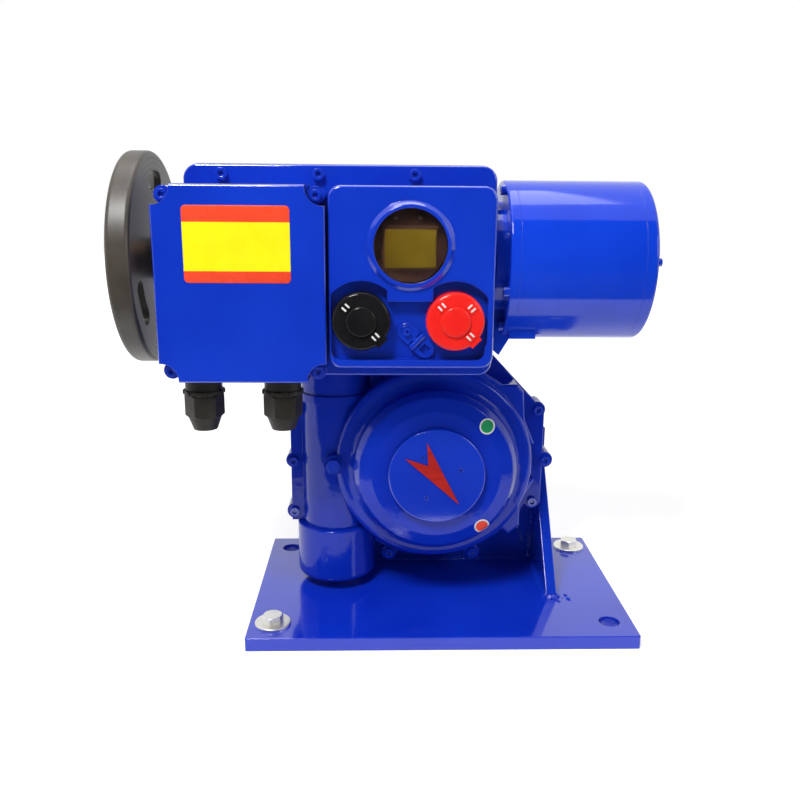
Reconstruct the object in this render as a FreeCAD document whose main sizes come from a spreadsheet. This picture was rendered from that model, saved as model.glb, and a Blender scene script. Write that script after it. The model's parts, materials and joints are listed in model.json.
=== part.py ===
import FreeCAD, Part
import math
import os

import Sketcher
from FreeCAD import Placement, Rotation, Vector

# Electric damper actuator: a foot-mounted quarter-turn gearbox with a motor, a
# handwheel and a control head on top. Millimetres. X runs to the right, Y away
# from the viewer and Z up. The origin is the middle of the base plate's underside.

DRIVING_SIZES = {
    # welded foot
    "base_length": 400.0, "base_depth": 250.0, "base_thick": 14.0, "base_corner": 2.5,
    "base_hole": 22.0, "base_hole_inset_x": 25.0, "base_hole_inset_y": 30.0,
    "plate_edge": 1.0,
    "washer_dia": 37.0, "washer_bore": 13.0, "washer_thick": 3.0,
    "foundation_thread": 12.0, "foundation_head": 19.0, "foundation_head_height": 7.5,
    "bracket_front": 62.0, "bracket_thick": 14.0, "bracket_right": 131.0,
    "bracket_width": 219.0, "bracket_rise": 206.0, "bracket_corner": 40.0,
    "gusset_thick": 12.0, "gusset_foot": 104.0, "gusset_rise": 126.0, "gusset_nose": 5.0,
    # gear train
    "output_x": -6.0, "output_height": 164.0, "mesh_y": 18.0,
    "wheel_module": 4.0, "wheel_pitch": 90.0, "worm_pitch": 18.0, "wheel_width": 36.0,
    "fine_module": 2.0, "fine_wheel_pitch": 30.0, "fine_worm_pitch": 14.0,
    "fine_wheel_width": 20.0, "input_height": 382.0,
    "running_clearance": 0.05, "moving_gap": 0.3,
    # gearbox casting
    "drum_wall": 9.0, "drum_front": 28.0, "pocket_gap": 3.0, "case_wall": 12.0,
    "flange_front": 10.0, "flange_thick": 12.0, "flange_rim": 16.0,
    "flange_left": 164.0, "flange_low": 86.0, "flange_high": 228.0,
    "flange_bolt_offset": 5.0, "side_bolt_inset": 3.5, "flange_lug": 9.0, "case_screw": 3.0,
    "casting_edge": 1.5, "drum_edge": 7.0, "lug_edge": 3.0,
    "casting_gap": 0.5, "cover_depth": 20.0,
    "shoulder_left": 57.0, "shoulder_high": 279.0, "shoulder_right": 118.0,
    "shoulder_low": 214.0,
    "nose_radius": 86.0, "nose_face": 55.5, "nose_step": 46.0, "nose_front": 60.0,
    "nose_flat": 67.0, "nose_shoulder": 80.5, "nose_flare": 9.0, "nose_edge": 3.0,
    "tube_radius": 37.4, "tube_low": 86.0, "tube_high": 237.0, "tube_bore": 28.0,
    "lug_root": 90.0, "lug_setback": 6.0,
    "cap_radius": 44.0, "cap_low": 24.0, "cap_wall": 8.0, "cap_edge": 7.0, "cap_rim_edge": 2.0,
    "plug_height": 164.0, "plug_boss": 11.0, "plug_head": 14.0,
    # shafts and bearings
    "output_nose": 15.0, "output_front_journal": 20.0, "output_seat": 26.0,
    "output_rear_journal": 25.0, "output_key": 10.0,
    "front_bearing_outer": 34.0, "rear_bearing_outer": 42.0, "output_bearing_width": 14.0,
    "worm_journal": 12.0, "worm_bearing_outer": 21.0, "worm_bearing_width": 12.0,
    "worm_shaft_step": 12.0, "worm_shaft_top": 24.0,
    "fine_hub_radius": 20.0, "fine_hub_length": 6.0,
    "input_journal": 10.0, "input_bearing_outer": 18.0, "input_bearing_width": 12.0,
    # indicator
    "disc_radius": 50.0, "disc_thick": 5.0, "arrow_thick": 1.5, "disc_screw": 5.0,
    "disc_screw_circle": 25.3, "arrow_tip": 38.0, "arrow_tail": 35.5,
    "arrow_notch": 15.0, "arrow_half": 14.0,
    # crank arm
    "crank_length": 150.0, "crank_thick": 22.0, "crank_hub": 40.0, "crank_eye": 24.0,
    "crank_pin_bore": 20.0, "crank_gap": 12.0, "crank_edge": 1.5,
    # control head
    "head_left": 248.0, "head_right": 45.0, "head_low": 272.0, "head_high": 472.0,
    "plate_front": 75.0, "plate_thick": 8.0, "plate_corner": 14.0,
    "head_back": 62.0, "head_wall": 7.0, "head_inset": 4.0, "lid_thick": 7.0,
    "neck_radius": 38.0, "web_thick": 14.0, "web_reach": 56.0, "boss_radius": 26.0,
    "head_screw": 4.0, "plate_screw": 3.2, "head_screw_inset": 9.0, "board_post": 12.0,
    "plate_screw_first": 36.0, "plate_screw_pitch": 89.5, "plate_front_edge": 2.5,
    "control_left": 112.0, "control_right": 40.0, "control_low": 288.0,
    "control_high": 453.0, "control_front": 119.0, "control_wall": 5.0,
    "control_corner": 12.0, "recess_depth": 10.0, "recess_rim": 8.0, "recess_roof": 54.5,
    "recess_left": 110.0, "recess_right": 34.0, "collar_half": 21.0,
    "window_x": -37.7, "window_above_knobs": 67.8, "window_ring": 40.0,
    "window_lip": 36.5, "window_bore": 33.5,
    "window_rise": 4.0, "glass_thick": 4.0,
    "knob_radius": 27.0, "knob_thick": 16.0, "knob_boss": 14.0, "knob_boss_rise": 3.0,
    "knob_edge": 4.0, "knob_tab_width": 12.0,
    "knob_tab_reach": 28.5, "knob_pocket": 36.5, "knob_spindle": 5.0,
    "black_knob_x": -82.4, "red_knob_x": 4.0, "knob_rise": 44.6,
    "hasp_x": -40.3, "hasp_rise": 33.8, "hasp_width": 17.0, "hasp_thick": 3.0,
    "hasp_leaf": 13.5, "hasp_flap": 19.0, "hasp_pin": 1.5,
    # terminal box
    "box_left": 268.0, "box_right": 114.0, "box_low": 275.0, "box_high": 453.0,
    "box_front": 125.0, "box_wall": 5.0, "box_lid": 18.0, "box_notch": 16.0,
    "box_notch_inset": 2.0, "box_ear": 3.0,
    "box_screw_inset": 9.0, "box_corner": 6.0,
    "gland_left_x": -234.0, "gland_right_x": -158.5, "gland_y": -94.0,
    "gland_thread": 12.4, "gland_hex": 33.0, "gland_neck": 17.5, "gland_flange": 19.0,
    "gland_body": 12.0, "gland_nut": 35.0, "gland_mouth": 10.0, "cable_bore": 8.0,
    # motor
    "motor_left": 66.0, "motor_right": 195.0, "motor_radius": 78.5, "motor_wall": 4.0,
    "motor_end": 12.0, "motor_neck": 58.0, "motor_flange": 10.0,
    "motor_edge": 4.0, "flange_edge": 2.0, "flange_screw": 3.0,
    "stator_outer": 68.0, "stator_inner": 42.0, "stator_length": 72.0, "air_gap": 0.4,
    "motor_foot_length": 22.0, "motor_foot_depth": 90.0, "motor_foot_drop": 73.5,
    "motor_foot_rise": 9.5, "motor_foot_lap": 4.0,
    "motor_rib_front": 33.0, "motor_rib_thick": 12.0, "motor_rib_top": 36.0,
    "motor_rib_low": 92.0, "motor_rib_side": 85.0, "motor_rib_slope": 12.0,
    # handwheel
    "handwheel_right": 287.0, "rim_width": 22.0, "rim_radius": 103.5, "rim_inner": 88.0,
    "rim_edge": 4.5, "web_thin": 7.0, "hub_radius": 20.0, "hub_length": 34.0,
    "window_half": 9.0, "window_circle": 76.5, "sleeve_radius": 17.0, "clutch_radius": 17.0,
    "clutch_dog": 6.0, "clutch_gap": 1.0, "clutch_x": 205.0,
}

# counts
WORM_STARTS = 1
WHEEL_TEETH = 45
FINE_TEETH = 30
HANDWHEEL_WINDOWS = 3
CLUTCH_DOGS = 4

# angles, in degrees
PRESSURE_ANGLE = 20.0
ARROW_ANGLE = -52.0
DISC_SCREW_ANGLES = (125.5, 15.7, -114.8)
CRANK_ANGLE = -45.0
HASP_ANGLE = -44.0
KNOB_TAB_ANGLE = -45.0
DOG_ANGLE = 36.0
WINDOW_SPREAD = 23.0
TOP_WINDOW_ANGLE = 90.0

# the two corner lugs of the gearbox: reach from the output axis, and angle
CORNER_LUGS = (
    ((113.4, 68.1), (112.6, 50.5), (123.5, 44.8), (123.2, 40.1), (108.2, 26.6),
     (109.9, 11.4)),
    ((111.3, -10.0), (106.5, -26.3), (120.3, -37.4), (118.4, -45.0)),
)
FLANGE_BOLT_ANGLES = (-112.0, -68.0, -26.0, -3.0, 24.0)
FLANGE_SCREW_ANGLES = (20.0, 110.0, 200.0, 237.0)

doc = FreeCAD.newDocument("DamperActuator")
sheet = doc.addObject("Spreadsheet::Sheet", "Sizes")
nodes = []


class Size:
    """A size as its value and as the expression that gives it from the sheet."""

    def __init__(self, value, text):
        self.value = value
        self.text = text

    def combine(self, other, sign):
        other = as_size(other)
        results = {
            "+": self.value + other.value,
            "-": self.value - other.value,
            "*": self.value * other.value,
        }
        return Size(results[sign], f"({self.text} {sign} {other.text})")

    def __add__(self, other):
        return self.combine(other, "+")

    def __sub__(self, other):
        return self.combine(other, "-")

    def __mul__(self, other):
        return self.combine(other, "*")

    def __truediv__(self, other):
        return self.combine(1.0 / other, "*")

    def __neg__(self):
        return self.combine(-1.0, "*")

    def __radd__(self, other):
        return as_size(other).combine(self, "+")

    def __rsub__(self, other):
        return as_size(other).combine(self, "-")

    def __rmul__(self, other):
        return as_size(other).combine(self, "*")


def as_size(number):
    if isinstance(number, Size):
        return number
    return Size(float(number), f"{float(number):.12g}")


def write_sheet():
    for row, (name, value) in enumerate(DRIVING_SIZES.items(), start=1):
        sheet.set(f"A{row}", name)
        sheet.set(f"B{row}", str(value))
        sheet.setAlias(f"B{row}", name)
    doc.recompute()


class Sizes:
    """Gives each cell of the sheet by its alias."""

    def __getattr__(self, name):
        return Size(DRIVING_SIZES[name], f"Sizes.{name}")


s = Sizes()
DIRECTIONS = {
    "x": Vector(1, 0, 0), "-x": Vector(-1, 0, 0),
    "y": Vector(0, 1, 0), "-y": Vector(0, -1, 0),
    "z": Vector(0, 0, 1), "-z": Vector(0, 0, -1),
}


def turned_to(along, turn=0.0):
    """The rotation that points local Z along a direction, after a turn about Z."""
    to_direction = Rotation(Vector(0, 0, 1), DIRECTIONS[along])
    return to_direction.multiply(Rotation(Vector(0, 0, 1), turn))


def bind(item, prop, size):
    size = as_size(size)
    item.setExpression(prop, size.text)


def place(item, at, rotation=None):
    item.Placement = Placement(Vector(0, 0, 0), rotation or Rotation())
    for axis, size in zip("xyz", at):
        bind(item, f"Placement.Base.{axis}", size)
    return item


def block(label, size, at):
    """A box from its sizes and its lowest corner."""
    item = doc.addObject("Part::Box", label)
    for prop, value in zip(("Length", "Width", "Height"), size):
        bind(item, prop, value)
    return place(item, at)


def span(label, low, high):
    """A box from its lowest and highest corners."""
    low = [as_size(value) for value in low]
    size = [as_size(top) - bottom for top, bottom in zip(high, low)]
    return block(label, size, low)


def rod(label, radius, length, at, along="z"):
    item = doc.addObject("Part::Cylinder", label)
    bind(item, "Radius", radius)
    bind(item, "Height", length)
    return place(item, at, turned_to(along))


def cone(label, radius, end_radius, length, at, along="z"):
    item = doc.addObject("Part::Cone", label)
    bind(item, "Radius1", radius)
    bind(item, "Radius2", end_radius)
    bind(item, "Height", length)
    return place(item, at, turned_to(along))


def prism(label, sides, radius, length, at, along="z", turn=0.0):
    item = doc.addObject("Part::Prism", label)
    item.Polygon = sides
    bind(item, "Circumradius", radius)
    bind(item, "Height", length)
    return place(item, at, turned_to(along, turn))


def hexagon(label, across_flats, length, at, along="z", turn=0.0):
    corner = as_size(across_flats) / (2.0 * math.cos(math.radians(30)))
    return prism(label, 6, corner, length, at, along, turn)


def fuse(label, *items):
    items = list(items)
    if len(items) == 1:
        return items[0]
    item = doc.addObject("Part::MultiFuse", label)
    item.Shapes = items
    item.Refine = True
    return item


def cut(label, base, *tools):
    item = doc.addObject("Part::Cut", label)
    item.Base = base
    item.Tool = fuse(f"{label}_tools", *tools)
    item.Refine = True
    return item


def group(label, *items):
    """Separate solids that share one node."""
    item = doc.addObject("Part::Compound", label)
    item.Links = list(items)
    return item


def meet(label, *items):
    """The space that all items share."""
    item = doc.addObject("Part::MultiCommon", label)
    item.Shapes = list(items)
    return item


def rounded(label, base, radius, wanted):
    """Fillets the edges that a test picks."""
    doc.recompute()
    radius = as_size(radius).value
    edges = [i for i, edge in enumerate(base.Shape.Edges, start=1) if wanted(edge)]
    item = doc.addObject("Part::Fillet", label)
    item.Base = base
    item.Edges = [(i, radius, radius) for i in edges]
    return item


def runs_along(axis):
    """A test for straight edges along an axis."""
    direction = DIRECTIONS[axis]

    def wanted(edge):
        if edge.Curve.TypeId != "Part::GeomLine":
            return False
        return abs(edge.tangentAt(edge.FirstParameter).dot(direction)) > 0.999

    return wanted


def lies_at(axis, value, curve=None):
    """A test for edges in one plane across an axis."""

    def wanted(edge):
        box = edge.BoundBox
        low = getattr(box, f"{axis.upper()}Min")
        high = getattr(box, f"{axis.upper()}Max")
        if curve and edge.Curve.TypeId != curve:
            return False
        return abs(low - value) < 0.01 and abs(high - value) < 0.01

    return wanted


def circle_at(axis, value, radius):
    """A test for a full circle of one radius in one plane across an axis."""
    in_plane = lies_at(axis, as_size(value).value, "Part::GeomCircle")

    def wanted(edge):
        return in_plane(edge) and abs(edge.Curve.Radius - as_size(radius).value) < 0.01

    return wanted


def any_of(*tests):
    def wanted(edge):
        return any(test(edge) for test in tests)

    return wanted


def chamfered_hexagon(label, across_flats, length, at, chamfer, turn=0.0, both=False):
    """A hexagon along Z whose top corners, or both ends, are turned off."""
    flats = as_size(across_flats) / 2
    corner = flats + chamfer * 1.6
    low = [(0, 0), (flats, 0), (corner, chamfer)] if both else [(0, 0), (corner, 0)]
    outline = low + [(corner, as_size(length) - chamfer), (flats, length), (0, length)]
    limit = turned(f"{label}_limit", outline, at)
    return meet(label, hexagon(f"{label}_hexagon", across_flats, length, at, turn=turn), limit)


def node(label, item):
    """Names a finished sub-part and keeps it for the export."""
    item.Label = label
    nodes.append(item)
    return item


def plane_of(body, role):
    for feature in body.Origin.OriginFeatures:
        if feature.Role == role:
            return feature
    raise LookupError(role)


def outline_sketch(body, name, role, points):
    """A closed outline of straight lines whose corners are bound to the sheet."""
    sketch = body.newObject("Sketcher::SketchObject", name)
    sketch.AttachmentSupport = [(plane_of(body, role), "")]
    sketch.MapMode = "FlatFace"
    points = [(as_size(u), as_size(v)) for u, v in points]
    places = [Vector(u.value, v.value, 0) for u, v in points]
    for i, start in enumerate(places):
        end = places[(i + 1) % len(places)]
        sketch.addGeometry(Part.LineSegment(start, end), False)
    for i in range(len(places)):
        after = (i + 1) % len(places)
        sketch.addConstraint(Sketcher.Constraint("Coincident", i, 2, after, 1))
    for i, (u, v) in enumerate(points):
        for kind, size, axis in (("DistanceX", u, -2), ("DistanceY", v, -1)):
            if size.value == 0:
                sketch.addConstraint(Sketcher.Constraint("PointOnObject", i, 1, axis))
                continue
            datum = Sketcher.Constraint(kind, -1, 1, i, 1, size.value)
            number = sketch.addConstraint(datum)
            bind(sketch, f"Constraints[{number}]", size)
    return sketch


def turned(label, outline, at, along="z"):
    """A turned part: an outline of (radius, height) points revolved about its axis."""
    body = doc.addObject("PartDesign::Body", label)
    sketch = outline_sketch(body, f"{label}_outline", "XZ_Plane", outline)
    turn = body.newObject("PartDesign::Revolution", f"{label}_turn")
    turn.Profile = sketch
    turn.ReferenceAxis = (sketch, ["V_Axis"])
    turn.Angle = 360.0
    return place(body, at, turned_to(along))


def padded(label, outline, thickness, at, role="XZ_Plane"):
    """A flat part: an outline padded by its thickness."""
    body = doc.addObject("PartDesign::Body", label)
    sketch = outline_sketch(body, f"{label}_outline", role, outline)
    pad = body.newObject("PartDesign::Pad", f"{label}_pad")
    pad.Profile = sketch
    bind(pad, "Length", thickness)
    # an XZ sketch faces -Y, so the pad is reversed to run away from the viewer
    pad.Reversed = role == "XZ_Plane"
    return place(body, at)


def polar(radius, angle, axis_x, axis_height):
    """X and Z of a point on a circle seen from the front."""
    turn = math.radians(angle)
    return (
        axis_x + as_size(radius) * math.cos(turn),
        axis_height + as_size(radius) * math.sin(turn),
    )


def socket_screw(label, radius, at, along, length, head=1.7, socket=True):
    """A cap screw: at is under the head, and the thread runs against along."""
    radius = as_size(radius)
    axis = DIRECTIONS[along]
    back = [as_size(value) for value in at]
    start = [value - length * part for value, part in zip(back, axis)]
    thread = rod(f"{label}_thread", radius, length, start, along)
    cap = rod(f"{label}_cap", radius * head, radius * 1.6, back, along)
    whole = fuse(f"{label}_solid", thread, cap)
    if not socket:
        return whole
    mouth = [value + radius * 0.8 * part for value, part in zip(back, axis)]
    hole = hexagon(f"{label}_socket", radius * 1.6, radius, mouth, along)
    return cut(label, whole, hole)


# places that many pieces share
base_top = s.base_thick
worm_x = s.output_x - s.wheel_pitch - s.worm_pitch
input_y = s.mesh_y - s.fine_wheel_pitch - s.fine_worm_pitch
output_z = s.output_height
input_z = s.input_height
flange_back = s.flange_front + s.flange_thick
bracket_back = s.bracket_front + s.bracket_thick
plate_back = -s.plate_front + s.plate_thick
under_head = s.head_low - s.casting_gap
beside_head = s.head_right + 1.5
plug_face = -s.drum_front - 1.0
knob_z = s.control_low + s.knob_rise
window_z = knob_z + s.window_above_knobs
hasp_z = s.control_low + s.hasp_rise
pocket_radius = s.wheel_pitch + s.wheel_module + s.pocket_gap
drum_radius = pocket_radius + s.drum_wall
flange_radius = drum_radius + s.flange_rim
flange_bolt_circle = flange_radius + s.flange_bolt_offset


def head_room(label):
    """The space under and beside the head that the gearbox keeps clear."""
    return span(label, (-s.head_left, -s.head_left, under_head),
                (beside_head, s.head_left, s.head_high))


def neck_room(label):
    """The space of the head's neck above the worm tube."""
    return rod(label, s.neck_radius + s.casting_gap, s.head_low - s.tube_high,
               (worm_x, s.mesh_y, s.tube_high))


def cap_room(label):
    """The space of the cap below the worm tube."""
    return rod(label, s.cap_radius + s.casting_gap, s.tube_low - s.cap_low,
               (worm_x, s.mesh_y, s.cap_low))


def foot_hole(side, depth):
    """X and Y of one hole of the base plate."""
    return (side * (s.base_length / 2 - s.base_hole_inset_x),
            depth * (s.base_depth / 2 - s.base_hole_inset_y))


def holes_of_base():
    for side in (-1, 1):
        for depth in (-1, 1):
            yield foot_hole(side, depth)


def above_foot(edge):
    """A test for edges that don't lie on the base plate."""
    return edge.BoundBox.ZMax > base_top.value + 0.01


def make_foot():
    """The base plate, the upright plate and its gusset, welded face to face."""
    low = (-(s.base_length / 2), -(s.base_depth / 2), 0)
    plate = block("base_blank", (s.base_length, s.base_depth, s.base_thick), low)
    plate = rounded("base_rounded", plate, s.base_corner, runs_along("z"))
    plate = rounded("base_edged", plate, s.plate_edge, lies_at("z", base_top.value))
    holes = [
        rod(f"base_hole_{i}", s.base_hole / 2, s.base_thick, (x, y, 0))
        for i, (x, y) in enumerate(holes_of_base())
    ]
    node("base_plate", cut("base_plate", plate, *holes))

    left = s.bracket_right - s.bracket_width
    rise = s.bracket_rise
    outline = [
        (left, 0), (s.bracket_right, 0), (s.bracket_right, rise - s.bracket_corner),
        (s.bracket_right - s.bracket_corner, rise), (left, rise),
    ]
    upright = padded("bracket_upright", outline, s.bracket_thick,
                     (0, s.bracket_front, base_top))
    faces = any_of(lies_at("y", s.bracket_front.value), lies_at("y", bracket_back.value))
    upright = rounded("bracket_edged", upright, s.plate_edge,
                      lambda edge: faces(edge) and above_foot(edge))
    bore = rod("bracket_bore", s.crank_hub, s.bracket_thick,
               (s.output_x, s.bracket_front, output_z), "y")
    holes = [
        rod(f"bracket_hole_{i}", s.head_screw + 2.5, s.bracket_thick,
            (x, s.bracket_front, z), "y")
        for i, (x, z) in enumerate(bracket_bolt_places())
    ]
    node("bracket_plate", cut("bracket_plate", upright, bore, *holes))

    outline = [
        (0, 0), (s.gusset_foot, 0), (s.gusset_foot, s.gusset_rise),
        (s.gusset_foot - s.gusset_nose, s.gusset_rise), (0, s.gusset_nose),
    ]
    at = (s.bracket_right - s.gusset_thick, s.bracket_front - s.gusset_foot, base_top)
    gusset = padded("gusset_blank", outline, s.gusset_thick, at, "YZ_Plane")
    sides = any_of(lies_at("x", (s.bracket_right - s.gusset_thick).value),
                   lies_at("x", s.bracket_right.value))
    front = runs_away_from(s.bracket_front.value)
    node("side_gusset", rounded("side_gusset", gusset, s.plate_edge,
                                lambda edge: sides(edge) and above_foot(edge) and front(edge)))


def runs_away_from(y):
    """A test for edges that don't lie against an upright plane."""

    def wanted(edge):
        return edge.BoundBox.YMin < y - 0.01

    return wanted


def bracket_bolt_places():
    """X and Z of the four bolts that hold the gearbox to the bracket."""
    for angle in (40.0, 140.0, 220.0, 320.0):
        yield polar(72.0, angle, s.output_x, output_z)


def make_foundation():
    """Two site bolts on large washers; the shanks end in the washers."""
    bolts, washers = [], []
    for i, side in enumerate((-1, 1)):
        x, y = foot_hole(side, side)
        disc = rod(f"washer_{i}", s.washer_dia / 2, s.washer_thick, (x, y, base_top))
        disc = rounded(f"washer_soft_{i}", disc, s.plate_edge,
                       lies_at("z", (base_top + s.washer_thick).value))
        hole = rod(f"washer_bore_{i}", s.washer_bore / 2, s.washer_thick, (x, y, base_top))
        washers.append(cut(f"washer_ring_{i}", disc, hole))
        top = base_top + s.washer_thick
        shank = rod(f"site_shank_{i}", s.foundation_thread / 2, s.washer_thick,
                    (x, y, base_top))
        head = chamfered_hexagon(f"site_head_{i}", s.foundation_head,
                                 s.foundation_head_height, (x, y, top), 1.2, 20.0)
        bolts.append(fuse(f"site_bolt_{i}", shank, head))
    node("foundation_bolts", group("foundation_bolts", *bolts))
    node("foundation_washers", group("foundation_washers", *washers))


def case_outline():
    """The parting flange of the gearbox, in X and Z."""
    low = s.flange_low
    neck_side = worm_x + s.neck_radius + 1.0
    return [
        (-s.flange_left, low), (s.output_x, low), (s.shoulder_right, low + 20.0),
        (s.shoulder_right, s.shoulder_low), (s.shoulder_left, s.shoulder_high),
        (beside_head, s.shoulder_high), (beside_head, under_head),
        (neck_side + 22.0, under_head), (neck_side, s.tube_high),
        (-s.flange_left, s.flange_high),
    ]


def flange_bolt_places():
    for angle in FLANGE_BOLT_ANGLES:
        yield polar(flange_bolt_circle, angle, s.output_x, output_z)
    for height in (s.flange_low + 11.0, (s.flange_low + s.flange_high) / 2,
                   s.flange_high - 12.0):
        yield s.side_bolt_inset - s.flange_left, height


def make_nose(x, front, z):
    """The domed nose: a flared foot on the drum, a rounded shoulder and a flat face."""
    rise = s.nose_front - s.drum_front
    shoulder = s.nose_face - s.drum_front
    step = s.nose_step - s.drum_front
    flare = [
        (s.nose_radius + s.nose_flare * (1 - math.cos(turn)),
         s.nose_flare * (1 - math.sin(turn)))
        for turn in (math.radians(90.0 - 15.0 * i) for i in range(7))
    ]
    outline = [(0, 0), *flare, (s.nose_radius, step), (s.nose_shoulder, shoulder),
               (s.nose_flat, rise), (0, rise)]
    nose = turned("case_nose", outline, (x, front, z), "-y")
    edges = any_of(
        circle_at("y", -s.nose_step, s.nose_radius),
        circle_at("y", -s.nose_face, s.nose_shoulder),
        circle_at("y", -s.nose_front, s.nose_flat),
    )
    return rounded("case_nose_soft", nose, s.nose_edge, edges)


def make_corner_lug(index, corners):
    """A lug that blends the drum into a corner of the parting flange."""
    lug_front = s.lug_setback - s.drum_front
    first, last = corners[0][1], corners[-1][1]
    path = [(s.lug_root, first), *corners, (s.lug_root, last)]
    outline = [polar(reach, angle, s.output_x, output_z) for reach, angle in path]
    lug = padded(f"case_corner_{index}", outline, flange_back - lug_front,
                 (0, lug_front, 0))
    return rounded(f"case_corner_soft_{index}", lug, s.lug_edge,
                   lies_at("y", lug_front.value))


def make_gear_case():
    """The front casting: worm tube, drum, parting flange and domed nose."""
    x, z = s.output_x, output_z
    front = -s.drum_front
    parting = lies_at("y", s.flange_front.value)
    drum = rod("case_drum", drum_radius, s.drum_front + flange_back, (x, front, z), "y")
    drum = rounded("case_drum_soft", drum, s.drum_edge, lies_at("y", front.value))
    flange = rod("case_flange", flange_radius, s.flange_thick,
                 (x, s.flange_front, z), "y")
    flange = rounded("case_flange_soft", flange, s.casting_edge, parting)
    sheet_part = padded("case_sheet", case_outline(), s.flange_thick,
                        (0, s.flange_front, 0))
    sheet_part = rounded("case_sheet_soft", sheet_part, s.casting_edge, parting)
    lugs = [
        rod(f"case_lug_{i}", s.flange_lug, s.flange_thick, (px, s.flange_front, pz), "y")
        for i, (px, pz) in enumerate(flange_bolt_places())
    ]
    lugs = [
        rounded(f"case_lug_soft_{i}", lug, s.casting_edge, parting)
        for i, lug in enumerate(lugs)
    ]
    corner_lugs = [make_corner_lug(i, corners) for i, corners in enumerate(CORNER_LUGS)]
    nose = make_nose(x, front, z)
    tube = rod("case_tube", s.tube_radius, s.tube_high - s.tube_low,
               (worm_x, s.mesh_y, s.tube_low))
    rim = rod("case_tube_rim", s.tube_radius + 3.0, 9.0,
              (worm_x, s.mesh_y, s.tube_high - 9.0))
    boss = rod("case_plug_boss", s.plug_boss, 30.0,
               (worm_x, plug_face + 30.0, s.plug_height), "-y")
    solid = fuse("case_solid", drum, flange, sheet_part, nose, tube, rim, boss,
                 *lugs, *corner_lugs)

    pocket_end = s.bracket_front - s.cover_depth
    pocket = rod("case_pocket", pocket_radius, s.drum_front - s.case_wall + pocket_end,
                 (x, front + s.case_wall, z), "y")
    bearing_seat = rod("case_bearing_seat", s.front_bearing_outer, 50.0,
                       (x, front - 8.0, z), "y")
    nose_bore = rod("case_nose_bore", s.output_front_journal + 1.0, 60.0,
                    (x, -s.nose_front, z), "y")
    tube_bore = rod("case_tube_bore", s.tube_bore, s.tube_high - s.tube_low - 26.0,
                    (worm_x, s.mesh_y, s.tube_low + 13.0))
    shaft_way = rod("case_shaft_way", s.worm_bearing_outer, s.tube_high - s.tube_low,
                    (worm_x, s.mesh_y, s.tube_low))
    plug_hole = rod("case_plug_hole", s.plug_boss - 5.0, 60.0,
                    (worm_x, s.mesh_y, s.plug_height), "-y")
    bolt_holes = [
        rod(f"case_hole_{i}", s.case_screw + 0.3, s.flange_thick, (px, s.flange_front, pz),
            "y")
        for i, (px, pz) in enumerate(flange_bolt_places())
    ]
    case = cut("gear_case_cut", solid, pocket, bearing_seat, nose_bore, tube_bore,
               shaft_way, plug_hole, head_room("case_head_room"),
               neck_room("case_neck_room"), cap_room("case_cap_room"), *bolt_holes)
    node("gear_case", case)


def make_rear_cover():
    """The cover behind the parting flange, with the rear output bearing."""
    x, z = s.output_x, output_z
    depth = s.bracket_front - flange_back
    drum = rod("cover_drum", flange_radius - 2.0, depth, (x, flange_back, z), "y")
    side = span("cover_side", (-s.flange_left + 1.0, flange_back, s.flange_low + 1.0),
                (x, s.bracket_front, s.flange_high - 1.0))
    lugs = [
        rod(f"cover_lug_{i}", s.flange_lug, 16.0, (px, flange_back, pz), "y")
        for i, (px, pz) in enumerate(flange_bolt_places())
    ]
    solid = fuse("cover_solid", drum, side, *lugs)
    pocket = rod("cover_pocket", pocket_radius, depth - s.cover_depth,
                 (x, flange_back, z), "y")
    seat = rod("cover_seat", s.rear_bearing_outer, s.cover_depth,
               (x, s.bracket_front - s.cover_depth, z), "y")
    bore = rod("cover_bore", s.output_rear_journal + 3.0, depth, (x, flange_back, z), "y")
    tube_way = rod("cover_tube_way", s.tube_radius + 3.0 + s.casting_gap,
                   s.head_low - s.flange_low, (worm_x, s.mesh_y, s.flange_low))
    threads = [
        rod(f"cover_thread_{i}", s.case_screw + 0.1, 14.0, (px, flange_back, pz), "y")
        for i, (px, pz) in enumerate(flange_bolt_places())
    ]
    back_threads = [
        rod(f"cover_back_thread_{i}", s.head_screw + 1.2, 12.0,
            (px, s.bracket_front, pz), "-y")
        for i, (px, pz) in enumerate(bracket_bolt_places())
    ]
    node("gear_rear_cover", cut("gear_rear_cover_cut", solid, pocket, seat, bore, tube_way,
                                head_room("cover_head_room"), cap_room("cover_cap_room"),
                                *threads, *back_threads))


def make_case_fasteners():
    bolts = [
        socket_screw(f"case_bolt_{i}", s.case_screw, (px, s.flange_front, pz), "-y", 24.0)
        for i, (px, pz) in enumerate(flange_bolt_places())
    ]
    node("case_bolts", group("case_bolts", *bolts))
    bolts = [
        socket_screw(f"bracket_bolt_{i}", s.head_screw + 1.0, (px, bracket_back, pz), "y",
                     s.bracket_thick + 10.0)
        for i, (px, pz) in enumerate(bracket_bolt_places())
    ]
    node("bracket_bolts", group("bracket_bolts", *bolts))


def make_worm_cap():
    """The cap that closes the worm tube underneath, with the lower bearing."""
    height = s.tube_low - s.cap_low
    cap = rod("worm_cap_blank", s.cap_radius, height, (worm_x, s.mesh_y, s.cap_low))
    cap = rounded("worm_cap_foot", cap, s.cap_edge, lies_at("z", s.cap_low.value))
    cap = rounded("worm_cap_rim", cap, s.cap_rim_edge, lies_at("z", s.tube_low.value))
    seat = rod("worm_cap_seat", s.worm_bearing_outer, s.worm_bearing_width,
               (worm_x, s.mesh_y, s.tube_low - s.worm_bearing_width))
    well = rod("worm_cap_well", s.worm_journal + 4.0, height - s.cap_wall,
               (worm_x, s.mesh_y, s.cap_low + s.cap_wall))
    node("worm_cap", cut("worm_cap_cut", cap, seat, well))


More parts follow.
